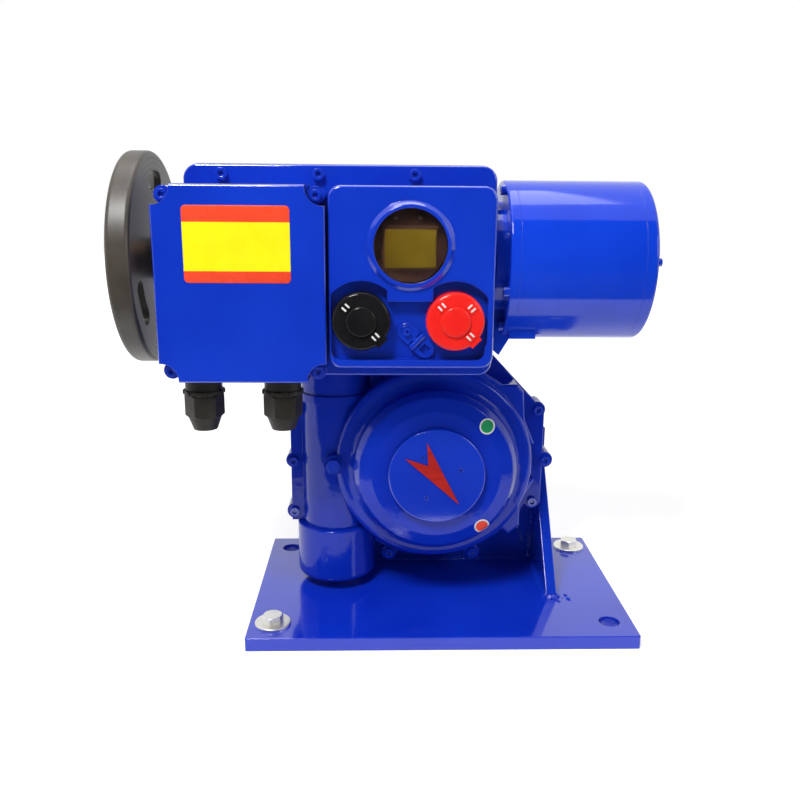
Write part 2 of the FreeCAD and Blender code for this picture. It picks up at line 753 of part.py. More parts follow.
def make_plug():
    """The hexagon oil plug in the front of the worm tube."""
    at = (worm_x, plug_face, s.plug_height)
    head = hexagon("plug_hexagon", s.plug_head, 6.0, at, "-y")
    thread = rod("plug_thread", s.plug_boss - 5.2, 12.0, at, "y")
    node("hex_plug", fuse("hex_plug_solid", head, thread))


def gear_blank(teeth, module, pitch, width, twist, thickness_share):
    """A toothed disc about Z, as a loft between two turned outlines."""
    tip = pitch + 0.8 * module
    root = pitch - 1.25 * module
    slope = math.tan(math.radians(PRESSURE_ANGLE))
    half = math.pi * module * thickness_share / 2

    def outline(turn, height):
        points = []
        for tooth in range(teeth):
            centre = 2 * math.pi * tooth / teeth + turn
            for radius, side in ((root, -1), (tip, -1), (tip, 1), (root, 1)):
                reach = (half - (radius - pitch) * slope) / radius
                angle = centre + side * reach
                points.append(Vector(radius * math.cos(angle),
                                     radius * math.sin(angle), height))
        return Part.makePolygon(points + points[:1])

    low = outline(-twist / 2, -width / 2)
    high = outline(twist / 2, width / 2)
    return Part.makeLoft([low, high], True, True)


def worm_thread(module, pitch, turns, thickness_share):
    """A right-handed thread about Z, centred on the origin, with its core."""
    lead = math.pi * module * WORM_STARTS
    tip = pitch + 0.8 * module
    root = pitch - 1.2 * module
    slope = math.tan(math.radians(PRESSURE_ANGLE))
    half = math.pi * module * thickness_share / 2
    start = -lead * turns / 2
    helix = Part.makeHelix(lead, lead * turns, pitch)
    corners = [
        Vector(root, 0, -(half + (pitch - root) * slope)),
        Vector(tip, 0, -(half - (tip - pitch) * slope)),
        Vector(tip, 0, half - (tip - pitch) * slope),
        Vector(root, 0, half + (pitch - root) * slope),
    ]
    profile = Part.makePolygon(corners + corners[:1])
    ridge = Part.Wire(helix.Edges).makePipeShell([profile], True, True)
    ridge.translate(Vector(0, 0, start))
    return ridge, root + 0.1 * module, start - half * 2


def feature(label, shape, at, rotation=None):
    """A shape made from the sheet's values, placed afterwards."""
    item = doc.addObject("Part::Feature", label)
    item.Shape = shape
    item.Placement = Placement(Vector(*[as_size(value).value for value in at]),
                               rotation or Rotation())
    return item


def keyway_of(radius, key, length):
    """Half the key's square section sinks into the bore's wall."""
    size = key.value
    return Part.makeBox(size, size, length, Vector(-size / 2, radius.value - size / 2, 0))


def make_output_body():
    """Everything that turns with the output: wheel, shaft, indicator and crank."""
    x, z = s.output_x, output_z
    half = s.wheel_width / 2
    lead_slope = WORM_STARTS * s.wheel_module.value / (2 * s.worm_pitch.value)
    twist = lead_slope * s.wheel_width.value / s.wheel_pitch.value
    blank = gear_blank(WHEEL_TEETH, s.wheel_module.value, s.wheel_pitch.value,
                       s.wheel_width.value, twist, 0.43)
    bore = Part.makeCylinder(s.output_seat.value, s.wheel_width.value + 2,
                             Vector(0, 0, -half.value - 1))
    key_slot = keyway_of(s.output_seat, s.output_key, s.wheel_width.value + 2)
    key_slot.translate(Vector(0, 0, -half.value - 1))
    rings = []
    for side in (-1, 1):
        start = side * (half.value - 4.0) if side > 0 else -half.value
        ring = Part.makeCylinder(76.0, 4.0, Vector(0, 0, start))
        rings.append(ring.cut(Part.makeCylinder(42.0, 4.0, Vector(0, 0, start))))
    wheel = blank.cut(Part.makeCompound([bore, key_slot])).cut(Part.makeCompound(rings))
    # local Z goes to world Y, and local X stays
    to_y = Rotation(Vector(1, 0, 0), -90)
    node("worm_wheel", feature("worm_wheel", wheel, (x, s.mesh_y, z), to_y))

    face = -(s.nose_front + 2.0)
    front_end = s.case_wall - s.drum_front + 6.0
    seat_start = s.mesh_y - half
    seat_end = s.mesh_y + half
    shaft_end = bracket_back + s.crank_gap + s.crank_thick + 2.0
    steps = [
        (s.output_nose, face, front_end - 24.0),
        (s.output_front_journal, front_end - 24.0, seat_start),
        (s.output_seat, seat_start, seat_end),
        (s.output_rear_journal, seat_end, shaft_end),
    ]
    outline = [(0, face)]
    for radius, start, end in steps:
        outline += [(radius, start), (radius, end)]
    outline.append((0, shaft_end))
    shaft = turned("output_shaft_blank", outline, (x, 0, z), "y")
    wheel_slot = span("wheel_slot", (x - s.output_key / 2, seat_start,
                                     z - s.output_seat - s.output_key / 2),
                      (x + s.output_key / 2, seat_end, z - s.output_seat + s.output_key / 2))
    crank_y = bracket_back + s.crank_gap
    crank_slot = span("crank_slot", (x - s.output_key / 2, crank_y,
                                     z - s.output_rear_journal - s.output_key / 2),
                      (x + s.output_key / 2, shaft_end,
                       z - s.output_rear_journal + s.output_key / 2))
    node("output_shaft", cut("output_shaft_cut", shaft, wheel_slot, crank_slot))

    key_one = span("wheel_key", (x - s.output_key / 2, seat_start,
                                 z - s.output_seat - s.output_key / 2),
                   (x + s.output_key / 2, seat_end, z - s.output_seat + s.output_key / 2))
    key_two = span("crank_key", (x - s.output_key / 2, crank_y,
                                 z - s.output_rear_journal - s.output_key / 2),
                   (x + s.output_key / 2, crank_y + s.crank_thick,
                    z - s.output_rear_journal + s.output_key / 2))
    node("shaft_keys", group("shaft_keys", key_one, key_two))

    disc_back = face
    disc = rod("disc_blank", s.disc_radius, s.disc_thick, (x, disc_back, z), "-y")
    disc = rounded("disc_rounded", disc, 1.2,
                   lies_at("y", (disc_back - s.disc_thick).value))
    screws, holes = [], []
    for i, angle in enumerate(DISC_SCREW_ANGLES):
        px, pz = polar(s.disc_screw_circle, angle, x, z)
        holes.append(rod(f"disc_hole_{i}", s.disc_screw / 2, s.disc_thick,
                         (px, disc_back, pz), "-y"))
        screws.append(rod(f"disc_screw_{i}", s.disc_screw / 2, s.disc_thick + 0.6,
                          (px, disc_back, pz), "-y"))
    node("indicator_disc", cut("indicator_disc_cut", disc, *holes))
    sockets = [
        hexagon(f"disc_socket_{i}", s.disc_screw / 2, 1.5,
                polar_y(s.disc_screw_circle, angle, disc_back - s.disc_thick + 0.9), "-y")
        for i, angle in enumerate(DISC_SCREW_ANGLES)
    ]
    screws = [cut(f"disc_fastener_{i}", a, b) for i, (a, b) in enumerate(zip(screws, sockets))]
    node("disc_screws", group("disc_screws", *screws))
    make_arrow(disc_back - s.disc_thick)
    make_crank(crank_y)


def polar_y(radius, angle, y):
    px, pz = polar(radius, angle, s.output_x, output_z)
    return px, y, pz


def make_arrow(face):
    """The red arrow on the disc: a notched dart that runs clear of the screws."""
    tip, tail = s.arrow_tip.value, -s.arrow_tail.value
    notch, half_width = -s.arrow_notch.value, s.arrow_half.value
    turn = math.radians(ARROW_ANGLE)

    def at(along, across):
        return Vector(along * math.cos(turn) - across * math.sin(turn), 0,
                      along * math.sin(turn) + across * math.cos(turn))

    corners = [at(tip, 0), at(tail, half_width), at(notch, 0), at(tail, -half_width)]
    outline = Part.Face(Part.makePolygon(corners + corners[:1]))
    solid = outline.extrude(Vector(0, -s.arrow_thick.value, 0))
    node("indicator_arrow", feature("indicator_arrow", solid, (s.output_x, face, output_z)))


def make_crank(crank_y):
    """The lever behind the bracket that moves the damper linkage."""
    x, z = s.output_x, output_z
    turn = math.radians(CRANK_ANGLE)
    reach = s.crank_length.value
    hub, eye = s.crank_hub.value, s.crank_eye.value
    thick = s.crank_thick.value
    along = Vector(math.cos(turn), 0, math.sin(turn))
    across = Vector(-math.sin(turn), 0, math.cos(turn))
    hub_disc = Part.makeCylinder(hub, thick, Vector(), Vector(0, 1, 0))
    eye_disc = Part.makeCylinder(eye, thick, along * reach, Vector(0, 1, 0))
    lean = math.asin((hub - eye) / reach)
    corners = []
    for centre, radius in ((0.0, hub), (reach, eye)):
        for side in (1, -1):
            point = along * (centre + radius * math.sin(lean))
            corners.append(point + across * (side * radius * math.cos(lean)))
    order = [corners[0], corners[2], corners[3], corners[1]]
    arm = Part.Face(Part.makePolygon(order + order[:1])).extrude(Vector(0, thick, 0))
    solid = hub_disc.fuse([eye_disc, arm]).removeSplitter()
    rims = any_of(lies_at("y", 0.0), lies_at("y", thick))
    solid = solid.makeFillet(s.crank_edge.value, [e for e in solid.Edges if rims(e)])
    bore = Part.makeCylinder(s.output_rear_journal.value, thick, Vector(), Vector(0, 1, 0))
    eye_bore = Part.makeCylinder(s.crank_pin_bore.value / 2, thick, along * reach,
                                 Vector(0, 1, 0))
    key = s.output_key.value
    slot = Part.makeBox(key, thick, key,
                        Vector(-key / 2, 0, -s.output_rear_journal.value - key / 2))
    solid = solid.cut([bore, eye_bore, slot])
    node("crank_arm", feature("crank_arm", solid, (x, crank_y, z)))


def ring(label, outer, inner, length, at, along="z"):
    body = rod(f"{label}_outer", outer, length, at, along)
    return cut(label, body, rod(f"{label}_inner", inner, length, at, along))


def make_output_bearings():
    """The two bearings of the output shaft, and the oil seal behind the rear one."""
    x, z = s.output_x, output_z
    clear = s.running_clearance
    front = ring("output_front_bearing", s.front_bearing_outer,
                 s.output_front_journal + clear, s.output_bearing_width,
                 (x, -s.drum_front - 8.0, z), "y")
    node("output_front_bearing", front)
    rear_y = s.bracket_front - s.cover_depth
    rear = ring("output_rear_bearing", s.rear_bearing_outer, s.output_rear_journal + clear,
                s.output_bearing_width, (x, rear_y, z), "y")
    node("output_rear_bearing", rear)
    seal = ring("output_seal", s.rear_bearing_outer, s.output_rear_journal + clear,
                s.cover_depth - s.output_bearing_width,
                (x, rear_y + s.output_bearing_width, z), "y")
    node("output_seal", seal)


def make_worm_shaft_body():
    """The upright shaft: lower worm, journals and the upper worm wheel."""
    low = s.cap_low + s.cap_wall + s.worm_shaft_step
    high = input_z + s.fine_wheel_width / 2 + s.worm_shaft_top
    shaft = Part.makeCylinder(s.worm_journal.value, (high - low).value,
                              Vector(0, 0, low.value - output_z.value))
    ridge, core_radius, low_end = worm_thread(s.wheel_module.value, s.worm_pitch.value,
                                              6, 0.43)
    core = Part.makeCylinder(core_radius, -2 * low_end, Vector(0, 0, low_end))
    worm = shaft.fuse([core]).fuse([ridge])
    node("worm_shaft", feature("worm_shaft", worm, (worm_x, s.mesh_y, output_z)))

    lead_slope = WORM_STARTS * s.fine_module.value / (2 * s.fine_worm_pitch.value)
    twist = lead_slope * s.fine_wheel_width.value / s.fine_wheel_pitch.value
    blank = gear_blank(FINE_TEETH, s.fine_module.value, s.fine_wheel_pitch.value,
                       s.fine_wheel_width.value, twist, 0.40)
    hub = Part.makeCylinder(s.fine_hub_radius.value, s.fine_hub_length.value,
                            Vector(0, 0, s.fine_wheel_width.value / 2))
    bore = Part.makeCylinder(s.worm_journal.value, 2 * s.fine_wheel_width.value,
                             Vector(0, 0, -s.fine_wheel_width.value))
    wheel = blank.fuse(hub).cut(bore)
    node("upper_worm_wheel", feature("upper_worm_wheel", wheel,
                                     (worm_x, s.mesh_y, input_z)))


def make_worm_bearings():
    clear = s.running_clearance
    width = s.worm_bearing_width
    heights = (s.tube_low - width, s.tube_high - width, s.head_low,
               input_z + s.fine_wheel_width / 2 + 10.0)
    rings = [
        ring(f"worm_bearing_{i}", s.worm_bearing_outer, s.worm_journal + clear, width,
             (worm_x, s.mesh_y, height))
        for i, height in enumerate(heights)
    ]
    node("worm_shaft_bearings", group("worm_shaft_bearings", *rings))


def web_places():
    """X of the left faces of the two webs that carry the input shaft."""
    return (worm_x - s.web_reach - s.web_thick, worm_x + s.web_reach)


def make_input_body():
    """The input shaft with the upper worm and the motor's rotor."""
    ridge, core_radius, low_end = worm_thread(s.fine_module.value, s.fine_worm_pitch.value,
                                              8, 0.36)
    left = -s.clutch_x
    right = s.motor_right - s.motor_end - 2.0
    shaft = Part.makeCylinder(s.input_journal.value, (right - left).value,
                              Vector(0, 0, (left - worm_x).value))
    core = Part.makeCylinder(core_radius, -2 * low_end, Vector(0, 0, low_end))
    solid = shaft.fuse([core]).fuse([ridge])
    clutch_plate = Part.makeCylinder(s.clutch_radius.value, s.clutch_dog.value,
                                     Vector(0, 0, (left - worm_x).value))
    solid = solid.fuse([clutch_plate])
    for dog in clutch_dogs(0.0):
        dog.translate(Vector(0, 0, (left - worm_x - s.clutch_dog).value))
        solid = solid.fuse([dog])
    # local X goes to world Y, local Y to world Z and local Z to world X
    cycle = Rotation(Vector(1, 1, 1), 120)
    node("input_shaft", feature("input_shaft", solid, (worm_x, input_y, input_z), cycle))

    middle = (s.motor_left + s.motor_right) / 2
    rotor = ring("motor_rotor", s.stator_inner - s.air_gap, s.input_journal,
                 s.stator_length, (middle - s.stator_length / 2, input_y, input_z), "x")
    node("motor_rotor", rotor)


def clutch_dogs(turn):
    """Four face dogs about local Z, as tall as the clutch is deep."""
    radius, inner = s.clutch_radius.value, s.input_journal.value - 2.0
    height = s.clutch_dog.value + 0.01
    dogs = []
    for i in range(CLUTCH_DOGS):
        sector = Part.makeCylinder(radius, height, Vector(), Vector(0, 0, 1), DOG_ANGLE)
        sector = sector.cut(Part.makeCylinder(inner, height))
        sector.rotate(Vector(), Vector(0, 0, 1),
                      turn - DOG_ANGLE / 2 + i * 360.0 / CLUTCH_DOGS)
        dogs.append(sector)
    return dogs


def make_input_bearings():
    clear = s.running_clearance
    width = s.input_bearing_width
    places = [x + 1.0 for x in web_places()]
    places += [s.motor_left - width, s.motor_right - s.motor_end - width]
    rings = [
        ring(f"input_bearing_{i}", s.input_bearing_outer, s.input_journal + clear, width,
             (x, input_y, input_z), "x")
        for i, x in enumerate(places)
    ]
    node("input_shaft_bearings", group("input_shaft_bearings", *rings))


def curved_slot(middle):
    """One window of the handwheel: a slot that follows the rim, with round ends."""
    circle, half = s.window_circle.value, s.window_half.value
    depth = s.rim_width.value
    axis = Vector(0, 0, 1)
    arc = Part.makeCylinder(circle + half, depth, Vector(), axis, WINDOW_SPREAD)
    arc.rotate(Vector(), axis, middle - WINDOW_SPREAD / 2)
    slot = arc.cut(Part.makeCylinder(circle - half, depth))
    for end in (middle - WINDOW_SPREAD / 2, middle + WINDOW_SPREAD / 2):
        turn = math.radians(end)
        at = Vector(circle * math.cos(turn), circle * math.sin(turn), 0)
        slot = slot.fuse(Part.makeCylinder(half, depth, at))
    return slot


def make_handwheel_body():
    """The handwheel, its shaft with the clutch dogs, and the sliding sleeve."""
    gap_x = -s.clutch_x - s.clutch_dog - s.clutch_gap
    outer_face = -s.handwheel_right - s.rim_width
    shaft_left = outer_face + 2.0
    shaft = Part.makeCylinder(s.input_journal.value - 2.0,
                              (gap_x - s.clutch_dog - 6.0 - shaft_left).value,
                              Vector(0, 0, (shaft_left - gap_x).value))
    plate = Part.makeCylinder(s.clutch_radius.value, 6.0,
                              Vector(0, 0, -s.clutch_dog.value - 6.0))
    solid = shaft.fuse([plate])
    for dog in clutch_dogs(180.0 / CLUTCH_DOGS):
        dog.translate(Vector(0, 0, -s.clutch_dog.value - 0.01))
        solid = solid.fuse([dog])
    cycle = Rotation(Vector(1, 1, 1), 120)
    node("handwheel_shaft", feature("handwheel_shaft", solid, (gap_x, input_y, input_z),
                                    cycle))

    web_start = s.rim_width - s.web_thin
    hub = s.hub_radius
    outline = [
        (s.input_journal - 2.0, 0), (hub, 0), (hub, web_start), (s.rim_inner, web_start),
        (s.rim_inner, 0), (s.rim_radius, 0), (s.rim_radius, s.rim_width),
        (hub, s.rim_width), (hub, s.hub_length), (s.input_journal - 2.0, s.hub_length),
    ]
    wheel = turned("handwheel_blank", outline, (outer_face, input_y, input_z), "x")
    faces = (outer_face, outer_face + s.rim_width)
    edges = any_of(*[circle_at("x", face, radius) for face in faces
                     for radius in (s.rim_radius, s.rim_inner)])
    wheel = rounded("handwheel_soft", wheel, s.rim_edge, edges)
    windows = []
    for i in range(HANDWHEEL_WINDOWS):
        slot = curved_slot(TOP_WINDOW_ANGLE + i * 360.0 / HANDWHEEL_WINDOWS)
        windows.append(feature(f"handwheel_window_{i}", slot,
                               (outer_face, input_y, input_z), cycle))
    node("handwheel", cut("handwheel_cut", wheel, *windows))

    sleeve_left = outer_face + s.hub_length + 1.0
    sleeve_right = gap_x - s.clutch_dog - 6.0 - 1.0
    sleeve = ring("handwheel_sleeve", s.sleeve_radius,
                  s.input_journal - 2.0 + s.running_clearance,
                  sleeve_right - sleeve_left, (sleeve_left, input_y, input_z), "x")
    node("handwheel_sleeve", sleeve)


def make_head():
    """The casting that carries the shafts, with its front plate and rear lid."""
    inset = s.head_inset
    low = (-s.head_left + inset, plate_back, s.head_low)
    high = (s.head_right - inset, s.head_back, s.head_high - inset)
    outer = span("head_outer", low, high)
    outer = rounded("head_outer_rounded", outer, s.plate_corner - 2.0, runs_along("y"))
    wall = s.head_wall
    inner = span("head_inner", (low[0] + wall, plate_back, s.head_low + wall + 5.0),
                 (high[0] - wall, s.head_back, high[2] - wall))
    shell = cut("head_shell", outer, inner)
    inner_low = s.head_low + wall + 4.0
    webs = [
        span(f"head_web_{i}", (x, plate_back + 2.0, inner_low),
             (x + s.web_thick, s.head_back - 2.0, high[2] - wall + 1.0))
        for i, x in enumerate(web_places())
    ]
    neck = rod("head_neck", s.neck_radius, s.head_low - s.tube_high + 1.0,
               (worm_x, s.mesh_y, s.tube_high))
    bearing_foot = input_z + s.fine_wheel_width / 2 + 9.0
    top_boss = rod("head_top_boss", s.boss_radius, high[2] - wall + 1.0 - bearing_foot,
                   (worm_x, s.mesh_y, bearing_foot))
    sleeve_boss = rod("head_sleeve_boss", s.sleeve_radius + 8.0, 16.0,
                      (low[0] - 8.0, input_y, input_z), "x")
    solid = fuse("head_solid", shell, *webs, neck, top_boss, sleeve_boss)

    clear = s.running_clearance
    tools = [
        rod("head_neck_bore", s.worm_journal + 4.0, s.head_low - s.tube_high + 20.0,
            (worm_x, s.mesh_y, s.tube_high)),
        rod("head_low_seat", s.worm_bearing_outer, 20.0, (worm_x, s.mesh_y, s.head_low)),
        rod("head_top_seat", s.worm_bearing_outer, 17.0,
            (worm_x, s.mesh_y, bearing_foot)),
        rod("head_sleeve_bore", s.sleeve_radius + clear, 40.0,
            (low[0] - 9.0, input_y, input_z), "x"),
        rod("head_motor_bore", s.input_bearing_outer + 6.0, 30.0,
            (high[0] - 20.0, input_y, input_z), "x"),
    ]
    for i, x in enumerate(web_places()):
        tools.append(rod(f"head_web_seat_{i}", s.input_bearing_outer, s.web_thick,
                         (x, input_y, input_z), "x"))
    tools += [
        rod(f"head_hole_{i}", s.plate_screw + 0.1, 8.0, (x, plate_back, z), "y")
        for i, (x, z) in enumerate(plate_screw_places())
    ]
    node("main_housing", cut("main_housing_cut", solid, *tools))

    plate = span("front_plate_blank", (-s.head_left, -s.plate_front, s.head_low),
                 (s.head_right, plate_back, s.head_high))
    plate = rounded("front_plate_rounded", plate, s.plate_corner, runs_along("y"))
    plate = rounded("front_plate_edged", plate, s.plate_front_edge,
                    lies_at("y", -s.plate_front.value))
    plate = rounded("front_plate_back", plate, s.plate_edge, lies_at("y", plate_back.value))
    ways = [
        span("plate_way_box", (-s.head_left + 20.0, -s.plate_front, s.box_low + 30.0),
             (-s.box_right - 20.0, plate_back, s.box_high - 30.0)),
        span("plate_way_control", (-s.control_left + 20.0, -s.plate_front,
                                   s.control_low + 30.0),
             (s.control_right - 20.0, plate_back, s.control_high - 30.0)),
    ]
    holes = [
        rod(f"plate_hole_{i}", s.plate_screw + 0.3, s.plate_thick, (x, -s.plate_front, z), "y")
        for i, (x, z) in enumerate(plate_screw_places())
    ]
    node("front_plate", cut("front_plate_cut", plate, *ways, *holes))

    lid = span("rear_lid_blank", (low[0] + 3.0, s.head_back, s.head_low + 3.0),
               (high[0] - 3.0, s.head_back + s.lid_thick, high[2] - 3.0))
    lid = rounded("rear_lid_rounded", lid, s.plate_corner - 4.0, runs_along("y"))
    lid = rounded("rear_lid_edged", lid, s.plate_front_edge,
                  lies_at("y", (s.head_back + s.lid_thick).value))
    holes = [
        rod(f"rear_lid_hole_{i}", s.head_screw + 0.3, s.lid_thick, (x, s.head_back, z), "y")
        for i, (x, z) in enumerate(lid_screw_places())
    ]
    node("rear_lid", cut("rear_lid_cut", lid, *holes))

    screws = [
        socket_screw(f"plate_screw_{i}", s.plate_screw, (x, -s.plate_front, z), "-y",
                     s.plate_thick + 6.0)
        for i, (x, z) in enumerate(plate_screw_places())
    ]
    node("plate_screws", group("plate_screws", *screws))
    screws = [
        socket_screw(f"lid_screw_{i}", s.head_screw, (x, s.head_back + s.lid_thick, z), "y",
                     s.lid_thick)
        for i, (x, z) in enumerate(lid_screw_places())
    ]
    node("lid_screws", group("lid_screws", *screws))


def plate_screw_places():
    """X and Z of the front plate's screws, along its top edge."""
    height = s.head_high - s.head_screw_inset
    for i in range(3):
        yield -s.head_left + s.plate_screw_first + i * s.plate_screw_pitch, height


def lid_screw_places():
    low, high = s.head_low + 14.0, s.head_high - 18.0
    for x in (-s.head_left + 18.0, (s.head_right - s.head_left) / 2, s.head_right - 18.0):
        for z in (low, high):
            yield x, z


def knob_places():
    return (("black", s.black_knob_x), ("red", s.red_knob_x))


def control_recess(front, low):
    """The recess: a rounded box below and a round pocket about each knob."""
    depth = s.recess_depth
    box = span("recess_box", (-s.recess_left, front, low),
               (s.recess_right - 2.0, front + depth, low + s.recess_roof))
    pockets = [
        rod(f"recess_pocket_{name}", s.knob_pocket, depth, (x, front, knob_z), "y")
        for name, x in knob_places()
    ]
    limits = span("recess_limits", (-s.recess_left, front, low),
                  (s.recess_right, front + depth, knob_z + s.knob_pocket))
    collar = span("recess_collar", (s.window_x - s.collar_half, front, low + s.recess_roof),
                  (s.window_x + s.collar_half, front + depth, window_z))
    shape = meet("recess_inside", fuse("recess_whole", box, *pockets), limits)
    shape = cut("recess_cut", shape, collar)
    return rounded("recess_rounded", shape, 8.0, lowest_along_y)


def lowest_along_y(edge):
    """A test for the two bottom corners of the recess."""
    if edge.Curve.TypeId != "Part::GeomLine":
        return False
    along = abs(edge.tangentAt(edge.FirstParameter).y) > 0.999
    bottom = (s.control_low + s.recess_rim).value
    return along and abs(edge.BoundBox.ZMin - bottom) < 0.01


def make_control_cover():
    """The cover with the round window and the recess for the two knobs."""
    low = (-s.control_left, -s.control_front, s.control_low)
    high = (s.control_right, -s.plate_front, s.control_high)
    outer = span("control_outer", low, high)
    outer = rounded("control_rounded", outer, s.control_corner, runs_along("y"))
    outer = rounded("control_edged", outer, 3.0, lies_at("y", low[1].value))
    window_ring = cone("control_ring", s.window_ring, s.window_lip, s.window_rise,
                       (s.window_x, low[1], window_z), "-y")
    solid = fuse("control_solid", outer, window_ring)
    wall = s.control_wall
    floor = low[1] + s.recess_depth
    rim = s.recess_rim
    tools = [
        span("control_inside", (low[0] + wall, floor + wall, low[2] + wall),
             (high[0] - wall, high[1], high[2] - wall)),
        rod("control_window", s.window_bore, s.window_rise + s.recess_depth + wall + 6.0,
            (s.window_x, low[1] - s.window_rise, window_z), "y"),
        control_recess(low[1], low[2] + rim),
    ]
    for name, x in knob_places():
        tools.append(rod(f"control_spindle_{name}", s.knob_spindle + s.running_clearance,
                         wall + 2.0, (x, floor - 1.0, knob_z), "y"))
    tools.append(rod("control_hasp_hole", 2.1, wall + 2.0,
                     (s.hasp_x, floor - 1.0, hasp_z), "y"))
    node("control_cover", cut("control_cover_cut", solid, *tools))

    glass = rod("window_glass", s.window_bore - 0.1, s.glass_thick,
                (s.window_x, low[1] - s.window_rise + 2.5, window_z), "y")
    node("window_glass", glass)

    screen_y = low[1] + 8.0
    board = rod("display_disc", s.window_bore - 0.3, 2.0,
                (s.window_x, screen_y, window_z), "y")
    frame = span("display_frame", (s.window_x - 25.0, screen_y - 4.0,
                                   window_z - 22.0),
                 (s.window_x + 25.0, screen_y + 0.5, window_z + 18.0))
    lamps = [
        rod(f"display_lamp_{i}", 2.2, 3.5,
            (s.window_x + dx, screen_y + 0.5, window_z + 25.0), "-y")
        for i, dx in enumerate((-13.5, 9.0))
    ]
    node("display_board", fuse("display_board_solid", board, frame, *lamps))


def make_knobs():
    """Two selector knobs with a raised boss and a pointer tab."""
    floor = -s.control_front + s.recess_depth
    for name, x in knob_places():
        back = floor - s.moving_gap
        at = (x, back, knob_z)
        front = back - s.knob_thick
        disc = rod(f"{name}_disc", s.knob_radius, s.knob_thick, at, "-y")
        disc = rounded(f"{name}_disc_soft", disc, s.knob_edge, lies_at("y", front.value))
        boss = rod(f"{name}_boss", s.knob_boss, s.knob_boss_rise, (x, front, knob_z), "-y")
        boss = rounded(f"{name}_boss_soft", boss, s.knob_boss_rise - 0.5,
                       lies_at("y", (front - s.knob_boss_rise).value))
        half_tab = s.knob_tab_width / 2
        tab = block(f"{name}_tab", (s.knob_tab_reach - s.knob_boss, s.knob_thick - 6.0,
                                    s.knob_tab_width), (0, 0, 0))
        tab.Placement.Rotation = Rotation(Vector(0, 1, 0), -KNOB_TAB_ANGLE)
        turn = math.radians(KNOB_TAB_ANGLE)
        bind(tab, "Placement.Base.x", x + s.knob_boss * math.cos(turn)
             + half_tab * math.sin(turn))
        bind(tab, "Placement.Base.y", front)
        bind(tab, "Placement.Base.z", knob_z + s.knob_boss * math.sin(turn)
             - half_tab * math.cos(turn))
        spindle = rod(f"{name}_spindle", s.knob_spindle, s.moving_gap + s.control_wall + 6.0,
                      at, "y")
        knob = fuse(f"{name}_knob_solid", disc, boss, tab, spindle)
        node(f"{name}_knob", knob)


def hasp_frame():
    """Where the hasp's local frame stands: X along its length, Z across."""
    rotation = Rotation(Vector(0, 1, 0), -HASP_ANGLE)
    floor = -s.control_front + s.recess_depth
    return rotation, floor


def make_hasp():
    """The padlock hasp: a fixed leaf, a flap that lifts and the pin between."""
    rotation, floor = hasp_frame()
    at = (s.hasp_x, floor, hasp_z)
    half = s.hasp_width.value / 2
    thick = s.hasp_thick.value
    leaf_end = s.hasp_leaf.value
    flap_end = leaf_end + s.hasp_flap.value
    pin_radius = s.hasp_pin.value
    knuckle = 3.2
    pin_y = -knuckle
    pin_at = Vector(leaf_end, pin_y, -half)
    plate = Part.makeCylinder(half, thick, Vector(0, 0, 0), Vector(0, -1, 0))
    body = Part.makeBox(leaf_end - knuckle - 0.4, thick, s.hasp_width.value,
                        Vector(0, -thick, -half))
    third = s.hasp_width.value / 3
    middle = Part.makeCylinder(knuckle, third - 0.6,
                               Vector(leaf_end, pin_y, -third / 2 + 0.3), Vector(0, 0, 1))
    bridge = Part.makeBox(knuckle + 1.0, thick, third - 0.6,
                          Vector(leaf_end - knuckle - 1.0, -thick, -third / 2 + 0.3))
    screw_hole = Part.makeCylinder(2.1, thick + 1, Vector(0, 1, 0), Vector(0, -1, 0))
    pin_hole = Part.makeCylinder(pin_radius, s.hasp_width.value, pin_at, Vector(0, 0, 1))
    leaf = plate.fuse([body, middle, bridge]).cut([screw_hole, pin_hole]).removeSplitter()
    node("hasp_leaf", feature("hasp_leaf", leaf, at, rotation))

    length = flap_end - leaf_end
    tongue = Part.makeBox(length - half, thick, s.hasp_width.value,
                          Vector(leaf_end, -thick - 0.3, -half))
    tip = Part.makeCylinder(half, thick, Vector(flap_end - half, -0.3, 0), Vector(0, -1, 0))
    tongue = tongue.fuse([tip])
    slot = Part.makeBox(length - 12.0, thick + 2, s.hasp_width.value - 9.0,
                        Vector(leaf_end + 6.5, -thick - 1.3, -half + 4.5))
    clear = Part.makeBox(knuckle + 0.5, 12.0, third,
                         Vector(leaf_end - 0.2, -9.0, -third / 2))
    ends = [
        Part.makeCylinder(knuckle - 0.3, third, Vector(leaf_end, pin_y, start),
                          Vector(0, 0, 1))
        for start in (-half, half - third)
    ]
    hole = Part.makeCylinder(pin_radius + s.running_clearance.value, s.hasp_width.value,
                             pin_at, Vector(0, 0, 1))
    flap = tongue.fuse(ends).cut([slot, clear, hole]).removeSplitter()
    node("hasp_flap", feature("hasp_flap", flap, at, rotation))

    pin = Part.makeCylinder(pin_radius, s.hasp_width.value, pin_at, Vector(0, 0, 1))
    node("hasp_pin", feature("hasp_pin", pin, at, rotation))
    screw = socket_screw("hasp_screw", as_size(2.0),
                         (s.hasp_x, floor - s.hasp_thick, hasp_z), "-y",
                         s.hasp_thick + s.control_wall)
    node("hasp_screw", screw)


def box_corner_places(inset):
    """X and Z of the four corners of the terminal box, moved inwards."""
    for x in (-s.box_left + inset, -s.box_right - inset):
        for z in (s.box_low + inset, s.box_high - inset):
            yield x, z


def gland_places():
    return (s.gland_left_x, s.gland_right_x)


def box_notches(label, radius, start, depth):
    """Rods along Y that cut away, or wall off, the four corners of the box."""
    return [
        rod(f"{label}_{i}", radius, depth, (x, start, z), "y")
        for i, (x, z) in enumerate(box_corner_places(s.box_notch_inset))
    ]


